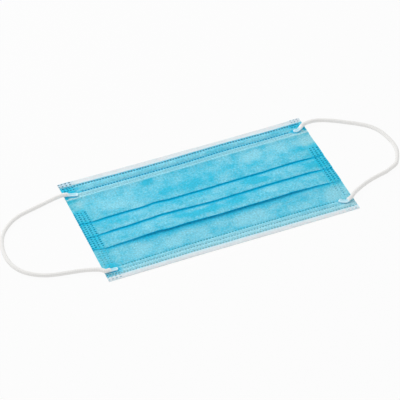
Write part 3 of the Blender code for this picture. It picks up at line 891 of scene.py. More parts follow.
def melted_end(corner, sizes, finish):
    """Cord end that a weld has flattened on the cloth, with a raised rim round a dished middle."""
    centres = weld_points(corner, sizes.diameter)
    rows = WELD_ENDS[corner]
    travelled = [0.0]
    for a, b in zip(centres, centres[1:]):
        travelled.append(travelled[-1] + (b - a).length)
    line = smooth_curve(centres, END_STEP)
    square = corner == SQUARE_END
    rings, values = [], []
    for number, centre in enumerate(line):
        at = travelled[-1] * number / (len(line) - 1)
        index = max(i for i in range(len(rows) - 1) if travelled[i] <= at + 1e-9)
        share = smoothstep(travelled[index], travelled[index + 1], at)
        width = mix(rows[index].width, rows[index + 1].width, share) * sizes.diameter
        thick = mix(rows[index].thickness, rows[index + 1].thickness, share) * sizes.diameter
        rounding = 1.0
        if not square:
            width = max(width, 0.3 * sizes.diameter)
        if number < 3:
            rounding = (0.80, 0.93, 0.98)[number] if square else (0.55, 0.85, 0.97)[number]
        before, after = line[max(number - 1, 0)], line[min(number + 1, len(line) - 1)]
        along = after - before
        across = Vector((-along.y, along.x, 0.0)).normalized()
        squareness = thick / width
        flatness = 1.0 - smoothstep(0.45, 0.95, thick / sizes.diameter)
        inside = smoothstep(0.4 * MM, 1.6 * MM, at) * flatness
        ring = []
        for step in range(END_SIDES):
            angle = 2 * math.pi * (step + 0.5) / END_SIDES
            wide = math.copysign(abs(math.cos(angle)) ** squareness, math.cos(angle))
            tall = math.copysign(abs(math.sin(angle)) ** squareness, math.sin(angle))
            middle = (1.0 - smoothstep(0.35, 0.85, abs(wide))) * inside if tall > 0 else 0.0
            lower = sizes.dish * middle
            grain = 0.05 * MM * noise.noise(centre * 2500 + Vector((wide * 3, 0, tall))) * flatness
            point = centre + across * wide * width / 2 * rounding
            point.z += tall * thick / 2 * (rounding ** 0.5) - lower + grain
            ring.append(point)
            values.append((wide * width / 2 / MM, at / MM, 0.0, 1.0 - middle, flatness))
        rings.append(ring)
    return link(f"melted_end_{corner}", tube_mesh(f"melted_end_{corner}", rings, values), finish)


def nose_wire(sizes, finish):
    """Flat strip with rounded edges, halfway between the first two rows of welds."""
    rings, values = [], []
    ends = [0.0, 0.15 * MM, 0.5 * MM]
    places = [-sizes.length / 2 + end for end in ends] + spread(-sizes.length / 2 + 0.5 * MM, 0.0, 20)
    places += [-x for x in reversed(places[:-1])]
    for x in places:
        end = sizes.length / 2 - abs(x)
        size = mix(0.7, 1.0, smoothstep(0.0, 0.5 * MM, end))
        down = (row_place(NOSE_ROWS[0], x) + row_place(NOSE_ROWS[1], x)) / 2 - 0.2 * MM
        ring = []
        for step in range(16):
            angle = 2 * math.pi * (step + 0.5) / 16
            wide = math.copysign(abs(math.cos(angle)) ** 0.25, math.cos(angle)) * sizes.width / 2 * size
            tall = math.copysign(abs(math.sin(angle)) ** 0.6, math.sin(angle)) * sizes.thickness / 2 * size
            ring.append(place(x, down - wide, sizes.top - sizes.thickness / 2 + tall))
            values.append((x / MM, wide / MM, 0.0, 0.0, 0.0))
        rings.append(ring)
    return link("nose_wire_strip", tube_mesh("nose_wire_strip", rings, values), finish)


def add_node(tree, kind, inputs=None, output=0, **settings):
    """Adds a node with its settings, and with a value or a link for each named or numbered input.
    Gives one output, by number or name, or the node itself where output is None."""
    node = tree.nodes.new(kind)
    for name, value in settings.items():
        setattr(node, name, value)
    for key, value in (inputs or {}).items():
        if isinstance(value, bpy.types.NodeSocket):
            tree.links.new(value, node.inputs[key])
        else:
            node.inputs[key].default_value = value
    return node if output is None else node.outputs[output]


def new_material(name, even):
    """Material, its tree and its shader, with the values set that are the same all over."""
    material = bpy.data.materials.new(name)
    material.use_nodes = True
    tree = material.node_tree
    shader = tree.nodes["Principled BSDF"]
    for key, value in even.items():
        shader.inputs[key].default_value = value
    return material, tree, shader


def dress(tree, shader, shade, relief, strength, depth):
    """Gives a shader its colour, and its relief with this strength and depth."""
    tree.links.new(shade, shader.inputs["Base Color"])
    bump = add_node(tree, "ShaderNodeBump", {"Strength": strength, "Distance": depth, "Height": relief})
    tree.links.new(bump, shader.inputs["Normal"])


def fibre_web(tree, spots, scale):
    """Height of a web of fine fibres laid in all directions, from stretched noise turned four ways."""
    web = None
    for turn in (12, 58, 103, 149):
        stretch = {0: spots, 2: (0, 0, math.radians(turn)), 3: (scale, scale * 7, 1)}
        turned = add_node(tree, "ShaderNodeMapping", stretch)
        strand = add_node(tree, "ShaderNodeTexNoise", {"Vector": turned, "Scale": 1.0, "Detail": 2.0})
        slope = add_node(tree, "ShaderNodeMath", {0: strand, 1: 0.5}, operation="SUBTRACT")
        slope = add_node(tree, "ShaderNodeMath", {0: slope}, operation="ABSOLUTE")
        sharp = add_node(tree, "ShaderNodeMath", {0: 1.0, 1: slope}, operation="SUBTRACT")
        if web is not None:
            sharp = add_node(tree, "ShaderNodeMath", {0: web, 1: sharp}, operation="MAXIMUM")
        web = sharp
    return web


def point_bonds(tree, spots, pitch, radius):
    """1 in the small dots where hot rollers bonded the web, on a lattice turned by 45 degrees."""
    lattice = {0: spots, 2: (0, 0, math.radians(45)), 3: (1 / pitch, 1 / pitch, 1)}
    turned = add_node(tree, "ShaderNodeMapping", lattice)
    parts = add_node(tree, "ShaderNodeSeparateXYZ", {0: turned}, None)
    squares = []
    for number in (0, 1):
        cell = add_node(tree, "ShaderNodeMath", {0: parts.outputs[number]}, operation="FRACT")
        cell = add_node(tree, "ShaderNodeMath", {0: cell, 1: 0.5}, operation="SUBTRACT")
        squares.append(add_node(tree, "ShaderNodeMath", {0: cell, 1: cell}, operation="MULTIPLY"))
    reach = add_node(tree, "ShaderNodeMath", dict(enumerate(squares)), operation="ADD")
    reach = add_node(tree, "ShaderNodeMath", {0: reach}, operation="SQRT")
    return add_node(tree, "ShaderNodeMapRange", {0: reach, 1: radius * 0.6, 2: radius * 1.2, 3: 1.0, 4: 0.0},
                    interpolation_type="SMOOTHSTEP")


def spunbond(name, pale, dense, backed, deep_and_crease_shade, film, blotch, grain, scatter=(0.6, 1.0, 1.0)):
    """Spunbond polypropylene cloth: matte, light goes a little way into it, blotchy from its uneven web,
    with painted shade in the pleats' creases and painted shadow round the cord ends.
    """
    material, tree, shader = new_material(name, {
        "Specular IOR Level": 0.15, "Subsurface Weight": 0.6, "Subsurface Radius": scatter,
        "Subsurface Scale": 0.8 * MM})
    spots = add_node(tree, "ShaderNodeAttribute", output="Vector", attribute_name="place")
    density, behind, layers_and_crease_shade, melt, flattened = (
        add_node(tree, "ShaderNodeAttribute", output="Fac", attribute_name=kind)
        for kind in ("web", "backed", "deep_and_crease_shade", "film", "pressed"))
    # Blotches of denser and thinner web, 10 to 30 mm across as on the real cloth
    clouds = add_node(tree, "ShaderNodeTexNoise",
                      {"Vector": spots, "Scale": 0.09, "Detail": 5.0, "Roughness": 0.68})
    spans = add_node(tree, "ShaderNodeMapRange", {0: clouds, 1: 0.3, 2: 0.7, 3: 0.0, 4: 1.0},
                     interpolation_type="SMOOTHSTEP")
    # Tufts of fibres, 1 to 2 mm, drawn a little coarser than the real web so that they show
    tufts = add_node(tree, "ShaderNodeTexNoise",
                     {"Vector": spots, "Scale": 0.55, "Detail": 4.0, "Roughness": 0.75})
    # Fibres 0.02 mm thick in the real web are drawn at about 0.25 mm
    web = fibre_web(tree, spots, 0.55)
    # Bonds are 1.5 mm apart and about 0.6 mm wide, with soft edges, as rollers leave them
    bonds = point_bonds(tree, spots, 1.5, 0.22)
    share = add_node(tree, "ShaderNodeMath", {0: spans, 1: blotch, 2: 0.5 - blotch / 2},
                     operation="MULTIPLY_ADD")
    uneven = add_node(tree, "ShaderNodeMath", {0: tufts, 1: 0.5}, operation="SUBTRACT")
    share = add_node(tree, "ShaderNodeMath", {0: uneven, 1: 1.7, 2: share}, operation="MULTIPLY_ADD")
    share = add_node(tree, "ShaderNodeMath", {0: share, 1: density}, operation="SUBTRACT", use_clamp=True)
    lighter = add_node(tree, "ShaderNodeMath", {0: behind, 1: 0.55}, operation="MULTIPLY")
    bonded = add_node(tree, "ShaderNodeMath", {0: bonds, 1: 0.15}, operation="MULTIPLY")
    # The deeper colour adds the darker blue of layers on layers and painted shade in the creases of the
    # pleats; the film colour adds weld film and painted shadow round the cord ends
    shade = (*dense, 1)
    for part, over in ((share, pale), (lighter, backed), (bonded, deep_and_crease_shade), (layers_and_crease_shade, deep_and_crease_shade), (melt, film)):
        shade = add_node(tree, "ShaderNodeMix", {0: part, 6: shade, 7: (*over, 1)}, 2, data_type="RGBA")
    # Light and dark specks of about 1 mm, which leave the cloth as light on the whole
    specks = add_node(tree, "ShaderNodeTexNoise",
                      {"Vector": spots, "Scale": 0.85, "Detail": 3.0, "Roughness": 0.7})
    grey = add_node(tree, "ShaderNodeMath", {0: specks, 1: grain, 2: 1.0 - SPECK_MEAN * grain},
                    operation="MULTIPLY_ADD")
    # The pressed ends are smoother, and throw a tenth more light back
    grey = add_node(tree, "ShaderNodeMath", {0: flattened, 1: 0.11, 2: grey}, operation="MULTIPLY_ADD")
    shade = add_node(tree, "ShaderNodeMix", {0: 1.0, 6: shade, 7: grey}, 2, data_type="RGBA",
                     blend_type="MULTIPLY")
    rough = add_node(tree, "ShaderNodeMath", {0: melt, 1: -0.4, 2: 0.85}, operation="MULTIPLY_ADD")
    tree.links.new(rough, shader.inputs["Roughness"])
    relief = add_node(tree, "ShaderNodeMath", {0: tufts, 1: 0.6}, operation="MULTIPLY")
    relief = add_node(tree, "ShaderNodeMath", {0: web, 1: relief}, operation="ADD")
    relief = add_node(tree, "ShaderNodeMath", {0: bonds, 1: -0.6, 2: relief}, operation="MULTIPLY_ADD")
    dress(tree, shader, shade, relief, 0.5, 0.15 * MM)
    return material


def knitted(name, light, groove, stitch, wales):
    """Knitted polyester elastic: matte white, its stitches in slanting pairs along the cord, with painted
    shade between them.
    """
    material, tree, shader = new_material(name, {
        "Roughness": 0.8, "Sheen Weight": 0.2, "Sheen Roughness": 0.5, "Specular IOR Level": 0.3})
    spots = add_node(tree, "ShaderNodeAttribute", output="Vector", attribute_name="place")
    parts = add_node(tree, "ShaderNodeSeparateXYZ", {0: spots}, None).outputs
    wale = add_node(tree, "ShaderNodeMath", {0: parts[0], 1: 1 / wales}, operation="MULTIPLY")
    wale = add_node(tree, "ShaderNodeMath", {0: wale}, operation="FRACT")
    wale = add_node(tree, "ShaderNodeMath", {0: wale, 1: 2.0, 2: -1.0}, operation="MULTIPLY_ADD")
    wale = add_node(tree, "ShaderNodeMath", {0: wale}, operation="ABSOLUTE")
    slant = add_node(tree, "ShaderNodeMath", {0: wale, 1: 0.5}, operation="MULTIPLY")
    turn = add_node(tree, "ShaderNodeMath", {0: parts[1], 1: 1 / stitch, 2: slant}, operation="MULTIPLY_ADD")
    turn = add_node(tree, "ShaderNodeMath", {0: turn, 1: 2 * math.pi}, operation="MULTIPLY")
    loops = add_node(tree, "ShaderNodeMath", {0: turn}, operation="SINE")
    loops = add_node(tree, "ShaderNodeMath", {0: loops, 1: 0.5, 2: 0.5}, operation="MULTIPLY_ADD")
    crown = add_node(tree, "ShaderNodeMath", {0: wale, 1: 0.5}, operation="POWER")
    loops = add_node(tree, "ShaderNodeMath", {0: loops, 1: crown}, operation="MULTIPLY")
    fuzz = add_node(tree, "ShaderNodeTexNoise", {"Vector": spots, "Scale": 5.0, "Detail": 3.0})
    # Painted shade: the colour between the stitches is darker than on their crowns
    shade = add_node(tree, "ShaderNodeMix", {0: loops, 6: (*groove, 1), 7: (*light, 1)}, 2, data_type="RGBA")
    relief = add_node(tree, "ShaderNodeMath", {0: fuzz, 1: 0.4, 2: loops}, operation="MULTIPLY_ADD")
    dress(tree, shader, shade, relief, 0.5, 0.12 * MM)
    return material


def melted(name, middle, rim, light):
    """Polyester elastic melted by the weld: smoother and a little glossy, brighter on its raised rim."""
    material, tree, shader = new_material(name, {"Roughness": 0.45, "Specular IOR Level": 0.3})
    spots = add_node(tree, "ShaderNodeAttribute", output="Vector", attribute_name="place")
    edge, pressed = (add_node(tree, "ShaderNodeAttribute", output="Fac", attribute_name=kind)
                     for kind in ("rim", "melted"))
    streaks = add_node(tree, "ShaderNodeMapping", {0: spots, 3: (2.6, 0.5, 1)})
    threads = add_node(tree, "ShaderNodeTexNoise", {"Vector": streaks, "Scale": 1.0, "Detail": 3.0})
    uneven = add_node(tree, "ShaderNodeMath", {0: threads, 1: 0.5}, operation="SUBTRACT")
    share = add_node(tree, "ShaderNodeMath", {0: uneven, 1: 0.8, 2: edge}, operation="MULTIPLY_ADD",
                     use_clamp=True)
    shade = add_node(tree, "ShaderNodeMix", {0: share, 6: (*middle, 1), 7: (*rim, 1)}, 2, data_type="RGBA")
    shade = add_node(tree, "ShaderNodeMix", {0: pressed, 6: (*light, 1), 7: shade}, 2, data_type="RGBA")
    dress(tree, shader, shade, threads, 0.4, 0.15 * MM)
    return material


def weld_film(name):
    """Polypropylene pressed to a film by a weld: darker than the cloth, with flecks of unmelted fibre."""
    material, tree, shader = new_material(name, {"Roughness": 0.5, "Specular IOR Level": 0.05})
    spots = add_node(tree, "ShaderNodeTexCoord", output="Object")
    shade = add_node(tree, "ShaderNodeAttribute", output="Color", attribute_name="shade")
    # 900 to the metre: flecks of about 1 mm, one or two on each mark
    flecks = add_node(tree, "ShaderNodeTexNoise", {"Vector": spots, "Scale": 900.0, "Detail": 2.0})
    grey = add_node(tree, "ShaderNodeMath", {0: flecks, 1: 0.6, 2: 0.7}, operation="MULTIPLY_ADD")
    shade = add_node(tree, "ShaderNodeMix", {0: 1.0, 6: shade, 7: grey}, 2, data_type="RGBA",
                     blend_type="MULTIPLY")
    dress(tree, shader, shade, flecks, 0.3, 0.05 * MM)
    return material


def coated_wire(name, shade):
    """Aluminium strip in white polyethylene, drawn through a die: satin, with faint lines along it."""
    material, tree, shader = new_material(name, {"Roughness": 0.4, "Specular IOR Level": 0.5})
    spots = add_node(tree, "ShaderNodeTexCoord", output="Object")
    lines = add_node(tree, "ShaderNodeMapping", {0: spots, 3: (40.0, 6000.0, 400.0)})
    drawn = add_node(tree, "ShaderNodeTexNoise", {"Vector": lines, "Scale": 1.0, "Detail": 3.0})
    darker = [part * 0.82 for part in shade]
    shade = add_node(tree, "ShaderNodeMix", {0: drawn, 6: (*darker, 1), 7: (*shade, 1)}, 2, data_type="RGBA")
    dress(tree, shader, shade, drawn, 0.3, 0.03 * MM)
    return material


def weld_mark_tree():
    """Geometry Nodes that put one flat, rounded weld mark on each point, turned to the cloth there."""
    tree = bpy.data.node_groups.new("Weld marks", "GeometryNodeTree")
    sockets = tree.interface
    sockets.new_socket("Geometry", in_out="INPUT", socket_type="NodeSocketGeometry")
    for name, default in (("Mark size", 1.0), ("Variation", 0.15)):
        sockets.new_socket(name, in_out="INPUT", socket_type="NodeSocketFloat").default_value = default
    sockets.new_socket("Seed", in_out="INPUT", socket_type="NodeSocketInt").default_value = 7
    sockets.new_socket("Finish", in_out="INPUT", socket_type="NodeSocketMaterial")
    sockets.new_socket("Geometry", in_out="OUTPUT", socket_type="NodeSocketGeometry")
    given = add_node(tree, "NodeGroupInput", output=None).outputs
    mark = add_node(tree, "GeometryNodeMeshUVSphere", {"Segments": 10, "Rings": 5, "Radius": 0.5})
    least, most = (add_node(tree, "ShaderNodeMath", {0: 1.0, 1: given["Variation"]}, operation=operation)
                   for operation in ("SUBTRACT", "ADD"))
    vary = add_node(tree, "FunctionNodeRandomValue", {2: least, 3: most, "Seed": given["Seed"]}, 1,
                    data_type="FLOAT")
    factor = add_node(tree, "ShaderNodeMath", {0: vary, 1: given["Mark size"]}, operation="MULTIPLY")
    turn, size = (add_node(tree, "GeometryNodeInputNamedAttribute", {"Name": name}, data_type="FLOAT_VECTOR")
                  for name in ("turn", "size"))
    scale = add_node(tree, "ShaderNodeVectorMath", {0: size, "Scale": factor}, operation="SCALE")
    marks = add_node(tree, "GeometryNodeInstanceOnPoints", {
        "Points": given["Geometry"], "Instance": mark, "Rotation": turn, "Scale": scale})
    real = add_node(tree, "GeometryNodeRealizeInstances", {0: marks})
    smooth = add_node(tree, "GeometryNodeSetShadeSmooth", {"Geometry": real})
    finished = add_node(tree, "GeometryNodeSetMaterial", {"Geometry": smooth, "Material": given["Finish"]})
    add_node(tree, "NodeGroupOutput", {0: finished}, None)
    return tree


def surface_at(trees, x, down):
    """Highest point of the cloth at one place, with its normal."""
    found = None
    for tree in trees:
        spot, normal, _, _ = tree.ray_cast(Vector(place(x, down, 20 * MM)), Vector((0, 0, -1)))
        if spot is not None and (found is None or spot.z > found[0].z):
            found = (spot, normal)
    return found


def weld_marks(name, spots, settings, seed, finish, tree):
    """Weld marks at these places, made real and left as a plain mesh."""
    surfaces = [BVHTree.FromObject(bpy.data.objects[piece], bpy.context.evaluated_depsgraph_get())
                for piece in ("outer_ply", "edge_strip_top", "edge_strip_bottom")]
    points, turns, sizes, shades = [], [], [], []
    for along, down, mark in spots:
        hit = surface_at(surfaces, along * MM - LENGTH / 2, down * MM)
        if hit is None:
            raise RuntimeError(f"{name}: no cloth at {along}, {down}")
        spot, normal = hit
        side = Vector((1, 0, 0)) - normal * normal.x
        side.normalize()
        points.append(spot + normal * 0.04 * MM)
        turns += Matrix((side, normal.cross(side), normal)).transposed().to_euler()[:]
        sizes += [mark.length * MM, mark.width * MM, settings.height]
        shades += [*colour(mark.code), 1.0]
    mesh = bpy.data.meshes.new(name)
    mesh.from_pydata(points, [], [])
    write_attribute(mesh, "turn", "FLOAT_VECTOR", turns)
    write_attribute(mesh, "size", "FLOAT_VECTOR", sizes)
    write_attribute(mesh, "shade", "FLOAT_COLOR", shades)
    thing = bpy.data.objects.new(name, mesh)
    bpy.context.scene.collection.objects.link(thing)
    modifier = thing.modifiers.new("Weld marks", "NODES")
    modifier.node_group = tree
    given = {"Mark size": settings.size, "Variation": settings.variation, "Seed": seed, "Finish": finish}
    for item in tree.interface.items_tree:
        if item.in_out == "INPUT" and item.name in given:
            modifier[item.identifier] = given[item.name]
    bpy.context.view_layer.update()
    evaluated = thing.evaluated_get(bpy.context.evaluated_depsgraph_get())
    grown = bpy.data.meshes.new_from_object(evaluated)
    thing.modifiers.clear()
    thing.data = grown
    grown.name = name
    return thing


def length_property(name, description, default, least=0.0, most=0.1):
    """Length of the mask's settings."""
    return bpy.props.FloatProperty(name=name, description=description, default=default, min=least, max=most,
                                   unit="LENGTH", precision=5)


def colour_property(name, description, code):
    """Colour of the mask's settings, from its sRGB hex code."""
    return bpy.props.FloatVectorProperty(name=name, description=description, default=colour(code), min=0.0,
                                         max=1.0, size=3, subtype="COLOR")


class MaskClothSettings(bpy.types.PropertyGroup):
    """Sizes and colours of the cloth."""

    thickness: length_property("Cloth thickness", "Thickness of the bonded plies together", 0.45 * MM)
    groove: length_property("Seam groove", "How deep the rows of welds pull the cloth in", 0.22 * MM)
    strip: length_property("Strip thickness", "Thickness of the white edge strips", 0.33 * MM)
    blotch: bpy.props.FloatProperty(name="Blotches", description="How uneven the web of fibres looks",
                                    default=0.75, min=0.0, max=1.0, subtype="FACTOR")
    pale: colour_property("Thin web", "Blue where the web is thin", "86D2EA")
    dense: colour_property("Dense web", "Blue where the web is dense", "38BADD")
    # This colour also paints the shade in the creases of the pleats
    deep_and_crease_shade: colour_property("Layered blue", "Blue where layers lie on layers", "00BEEA")
    backed: colour_property("Over the strips", "Blue where the white strip lies below it", "A6DEEE")
    # This colour also paints the shadow round the cord ends
    film: colour_property("Pressed film", "Blue where a weld pressed the cloth to a film", "00BEEE")
    white: colour_property("White cloth", "White of the edge strips and the inner ply", "DEE7EB")
    white_edge: colour_property("White over blue", "White strip where blue cloth shows through", "CDEFFA")
    # This colour also paints the shade in the creases of the inner ply
    dense_white_and_crease_shade: colour_property("White cloth, dense", "White where the web is dense", "D3DEE4")


class MaskCordSettings(bpy.types.PropertyGroup):
    """Sizes and colours of the ear cords."""

    diameter: length_property("Cord diameter", "Diameter of the knitted cord", CORD)
    rib: length_property("Stitch relief", "Height of the stitches", 0.07 * MM)
    stitch: length_property("Stitch length", "Length of one stitch along the cord", 1.1 * MM)
    dish: length_property("Weld dish", "How deep the weld dished the cord's end", 0.25 * MM)
    light: colour_property("Elastic", "White of the stitches", "F3F2F0")
    # Painted shade between the stitches
    groove: colour_property("Elastic, between stitches", "White between the stitches", "E2E1DF")
    melt: colour_property("Melted middle", "Colour of the flattened middle of the ends", "A4D9E9")
    rim: colour_property("Melted rim", "Colour of the raised rim of the ends", "D8F2FA")


class MaskWireSettings(bpy.types.PropertyGroup):
    """Sizes of the nose wire."""

    length: length_property("Wire length", "Length of the nose wire", 120.0 * MM, 0.0, 0.12)
    width: length_property("Wire width", "Width of the nose wire", 3.0 * MM)
    thickness: length_property("Wire thickness", "Thickness of the nose wire", 0.50 * MM)
    top: length_property("Wire top", "Height of its upper side", 1.42 * MM)


class MaskWeldSettings(bpy.types.PropertyGroup):
    """Sizes of the weld marks."""

    size: bpy.props.FloatProperty(name="Mark size", description="Size of all marks, as a share of their own",
                                  default=1.0, min=0.1, max=3.0)
    variation: bpy.props.FloatProperty(name="Variation", description="How much the marks differ in size",
                                       default=0.15, min=0.0, max=0.5)
    height: length_property("Mark height", "Thickness of the film in a weld mark", 0.20 * MM)


class MaskStageSettings(bpy.types.PropertyGroup):
    """Floor, light and camera."""

    floor: colour_property("Floor", "Colour of the floor", "3A3A3A")
    glow: bpy.props.FloatProperty(name="Floor glow", description="Light that the floor gives by itself",
                                  default=0.93, min=0.0, max=2.0)
    sky: bpy.props.FloatProperty(name="Even light", description="Strength of the light from all round",
                                 default=0.80, min=0.0, max=5.0)
    key: bpy.props.FloatProperty(name="Soft box", description="Power of the soft box, in watts",
                                 default=6.0, min=0.0, max=500.0)
    distance: length_property("Camera distance", "Distance from the mask to the camera", 1.324, 0.1, 10.0)
    turn: bpy.props.FloatProperty(name="Camera turn", description="Turn of the camera to the mask's left",
                                  default=math.radians(-23.60), subtype="ANGLE")
    rise: bpy.props.FloatProperty(name="Camera rise", description="Angle of the camera above the floor",
                                  default=math.radians(44.01), subtype="ANGLE")
    roll: bpy.props.FloatProperty(name="Camera roll", description="Turn about the camera's line of sight",
                                  default=math.radians(0.92), subtype="ANGLE")


class MASK_OT_stage(bpy.types.Operator):
    """Lays the pale floor, hangs the soft lights and sets up the camera"""

    bl_idname = "mask.stage"
    bl_label = "Stage"

    def execute(self, context):
        settings = context.scene.mask_stage
        floor = bpy.data.meshes.new("floor")
        corners = [(x * FLOOR_HALF, y * FLOOR_HALF, FLOOR_LEVEL)
                   for x, y in ((-1, -1), (1, -1), (1, 1), (-1, 1))]
        floor.from_pydata(corners, [], [(0, 1, 2, 3)])
        # White acrylic sheet, lit a little from below as a product table is
        acrylic = new_material("White acrylic table", {
            "Roughness": 0.9, "Specular IOR Level": 0.0, "Base Color": (*settings.floor, 1),
            "Emission Color": (1, 1, 1, 1), "Emission Strength": settings.glow})[0]
        link("floor", floor, acrylic)

        world = bpy.data.worlds.new("Soft white room")
        world.use_nodes = True
        background = world.node_tree.nodes["Background"]
        background.inputs[0].default_value = (1.0, 1.0, 1.0, 1.0)
        background.inputs[1].default_value = settings.sky
        context.scene.world = world

        lamp = bpy.data.lights.new("soft_box", "AREA")
        lamp.shape = "DISK"
        lamp.size = SOFT_BOX_SIZE
        lamp.energy = settings.key
        light = bpy.data.objects.new("soft_box", lamp)
        light.location = SOFT_BOX_PLACE
        light.rotation_euler = (-light.location).to_track_quat("-Z", "Y").to_euler()
        context.scene.collection.objects.link(light)

        turn, rise, roll = settings.turn, settings.rise, settings.roll
        back = Vector((math.sin(turn) * math.cos(rise), -math.cos(turn) * math.cos(rise), math.sin(rise)))
        right = Vector((math.cos(turn), math.sin(turn), 0))
        up = back.cross(right)
        turned_right = right * math.cos(roll) + up * math.sin(roll)
        turned_up = up * math.cos(roll) - right * math.sin(roll)
        matrix = Matrix((turned_right, turned_up, back)).transposed().to_4x4()
        matrix.translation = Vector(VIEW_CENTRE) + back * settings.distance
        lens = bpy.data.cameras.new("camera")
        lens.lens = FOCAL_LENGTH
        lens.sensor_width = SENSOR_WIDTH
        lens.clip_end = 10
        camera = bpy.data.objects.new("camera", lens)
        camera.matrix_world = matrix
        context.scene.collection.objects.link(camera)
        context.scene.camera = camera
        context.scene.view_settings.view_transform = "Standard"
        return {"FINISHED"}


class MASK_OT_ear_cords(bpy.types.Operator):
    """Knits the two ear cords and flattens their welded ends on the cloth"""

    bl_idname = "mask.ear_cords"
    bl_label = "Ear cords"

    def execute(self, context):
        settings = context.scene.mask_cord
        knit = knitted("Knitted polyester elastic", settings.light, settings.groove,
                       settings.stitch / MM, settings.diameter * math.pi / WALES / MM)
        melt = melted("Melted polyester elastic", settings.melt, settings.rim, settings.light)
        for side in ("left", "right"):
            cord, path, run = ear_cord(side, settings, knit)
            for edge in ("top", "bottom"):
                end = melted_end(f"{edge}_{side}", settings, melt)
                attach(end, "root")
                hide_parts(f"loop_weld_{edge}_{side}")
            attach(cord, "root")
            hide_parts(f"ear_loop_{side}")
        return {"FINISHED"}


class MASK_OT_cloth(bpy.types.Operator):
    """Folds the blue outer ply and the white inner ply"""

    bl_idname = "mask.cloth"
    bl_label = "Pleated cloth"

    def execute(self, context):
        settings = context.scene.mask_cloth
        blue = spunbond("Blue spunbond polypropylene", settings.pale, settings.dense, settings.backed,
                        settings.deep_and_crease_shade, settings.film, settings.blotch, BLUE_GRAIN)
        white = spunbond("White spunbond polypropylene, inner ply", settings.white, settings.dense_white_and_crease_shade,
                         settings.white, settings.dense_white_and_crease_shade, settings.dense_white_and_crease_shade, settings.blotch,
                         WHITE_GRAIN, scatter=(1.0, 1.0, 1.0))
        for name, near, far, finish, slot in (("outer_ply", 0.01, 0.5, blue, "blue_cloth"),
                                              ("inner_ply", -0.5, -0.01, white, "white_cloth")):
            piece, flat = ply(name, settings.thickness, settings.groove, near, far, finish)
            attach(piece, "root")
            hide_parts("mask_body")
        return {"FINISHED"}


class MASK_OT_edge_strips(bpy.types.Operator):
    """Folds the white strips round the nose edge and the chin edge"""

    bl_idname = "mask.edge_strips"
    bl_label = "Edge strips"

    def execute(self, context):
        settings = context.scene.mask_cloth
        white = spunbond("White spunbond polypropylene", settings.white, settings.dense_white_and_crease_shade,
                         settings.white_edge, settings.dense_white_and_crease_shade, settings.film, settings.blotch,
                         WHITE_GRAIN)

        def nose_cut(x):
            return row_place(NOSE_ROWS[0], x) - NOSE_HEM_BEFORE

        def nose_leg(x):
            return row_place(NOSE_ROWS[2], x) + NOSE_STRIP_BEYOND

        def chin_cut(x):
            return HEIGHT - row_place(CHIN_ROWS[2], x) - CHIN_HEM_BEYOND

        def chin_leg(x):
            return HEIGHT - row_place(CHIN_ROWS[0], x) - 0.7 * MM

        for edge, shows, leg, top, inset, flip in (
                ("top", nose_cut, nose_leg, NOSE_HEM_TOP, NOSE_INSET, False),
                ("bottom", chin_cut, chin_leg, CHIN_HEM_TOP, CHIN_INSET, True)):
            strip, flat = edge_strip(f"edge_strip_{edge}", shows, leg, top, inset, flip, settings.strip,
                                     white)
            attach(strip, "root")
            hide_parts(f"hem_{edge}")
        return {"FINISHED"}


class MASK_OT_nose_wire(bpy.types.Operator):
    """Lays the nose wire under the ridge of the nose edge"""

    bl_idname = "mask.nose_wire"
    bl_label = "Nose wire"

    def execute(self, context):
        finish = coated_wire("Aluminium strip in polyethylene", colour("E9EAEA"))
        wire = nose_wire(context.scene.mask_wire, finish)
        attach(wire, "root")
        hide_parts("nose_wire")
        return {"FINISHED"}


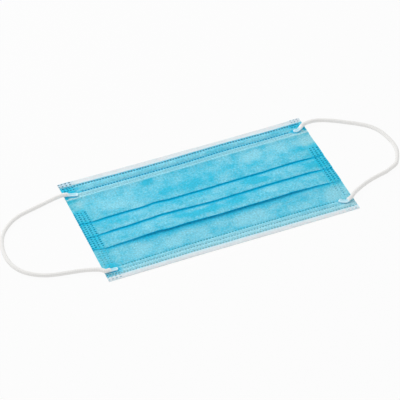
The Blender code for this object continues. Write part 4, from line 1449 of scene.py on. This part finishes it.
class MASK_OT_welds(bpy.types.Operator):
    """Presses the rows, columns and corners of weld marks into the cloth"""

    bl_idname = "mask.welds"
    bl_label = "Weld marks"

    def execute(self, context):
        settings = context.scene.mask_weld
        tree = weld_mark_tree()
        film = weld_film("Pressed polypropylene film")
        rows, columns, corners = [], [], []
        for number, row in enumerate(NOSE_ROWS + CHIN_ROWS):
            first, last = LONG_ROW if number in (0, 5) else SHORT_ROW
            for step in range(int((last - first) / ROW_PITCH) + 1):
                along = first + step * ROW_PITCH
                rows.append((along, row_place(row, along * MM - LENGTH / 2) / MM, ROW_MARKS[number]))
        for column in END_COLUMNS:
            for step in range(int((column.stop - column.start) / END_PITCH) + 1):
                down = column.start + step * END_PITCH
                columns.append((column.along, down, COLUMN_MARK if down < SINGLE_FROM else SINGLE_MARK))
        for alongs, downs, mark in CORNER_MARKS + FILM_MARKS:
            corners += [(along, down, mark) for along in alongs for down in downs]
        for name, spots, seed, slot in (
                ("seam_welds", rows, 7, "blue_cloth"),
                ("end_welds", columns, 11, "blue_cloth"),
                ("corner_welds", corners, 19, "white_cloth")):
            marks = weld_marks(name, spots, settings, seed, film, tree)
            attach(marks, "root")
        return {"FINISHED"}


class MASK_PT_build(bpy.types.Panel):
    """Lists the mask's pieces"""

    bl_label = "Face mask"
    bl_idname = "MASK_PT_build"
    bl_space_type = "VIEW_3D"
    bl_region_type = "UI"
    bl_category = "Face mask"

    def draw(self, context):
        for operator in OPERATORS:
            self.layout.operator(operator.bl_idname)
        for name in SETTINGS:
            box = self.layout.box()
            for prop in getattr(context.scene, name).bl_rna.properties:
                if prop.identifier not in ("name", "rna_type"):
                    box.prop(getattr(context.scene, name), prop.identifier)


SETTINGS = {
    "mask_stage": MaskStageSettings,
    "mask_cord": MaskCordSettings,
    "mask_cloth": MaskClothSettings,
    "mask_wire": MaskWireSettings,
    "mask_weld": MaskWeldSettings,
}
OPERATORS = (
    MASK_OT_stage,
    MASK_OT_ear_cords,
    MASK_OT_cloth,
    MASK_OT_edge_strips,
    MASK_OT_nose_wire,
    MASK_OT_welds,
)


def register():
    """Adds the settings, the operators and the panel."""
    for kind in (*SETTINGS.values(), *OPERATORS, MASK_PT_build):
        bpy.utils.register_class(kind)
    for name, kind in SETTINGS.items():
        setattr(bpy.types.Scene, name, bpy.props.PointerProperty(type=kind))


def unregister():
    """Takes them away again."""
    for name in SETTINGS:
        delattr(bpy.types.Scene, name)
    for kind in (MASK_PT_build, *reversed(OPERATORS), *reversed(SETTINGS.values())):
        bpy.utils.unregister_class(kind)


def main():
    register()
    bpy.ops.mask.stage()
    bpy.ops.mask.ear_cords()
    bpy.ops.mask.cloth()
    bpy.ops.mask.edge_strips()
    bpy.ops.mask.nose_wire()
    bpy.ops.mask.welds()


if __name__ == "__main__":
    main()
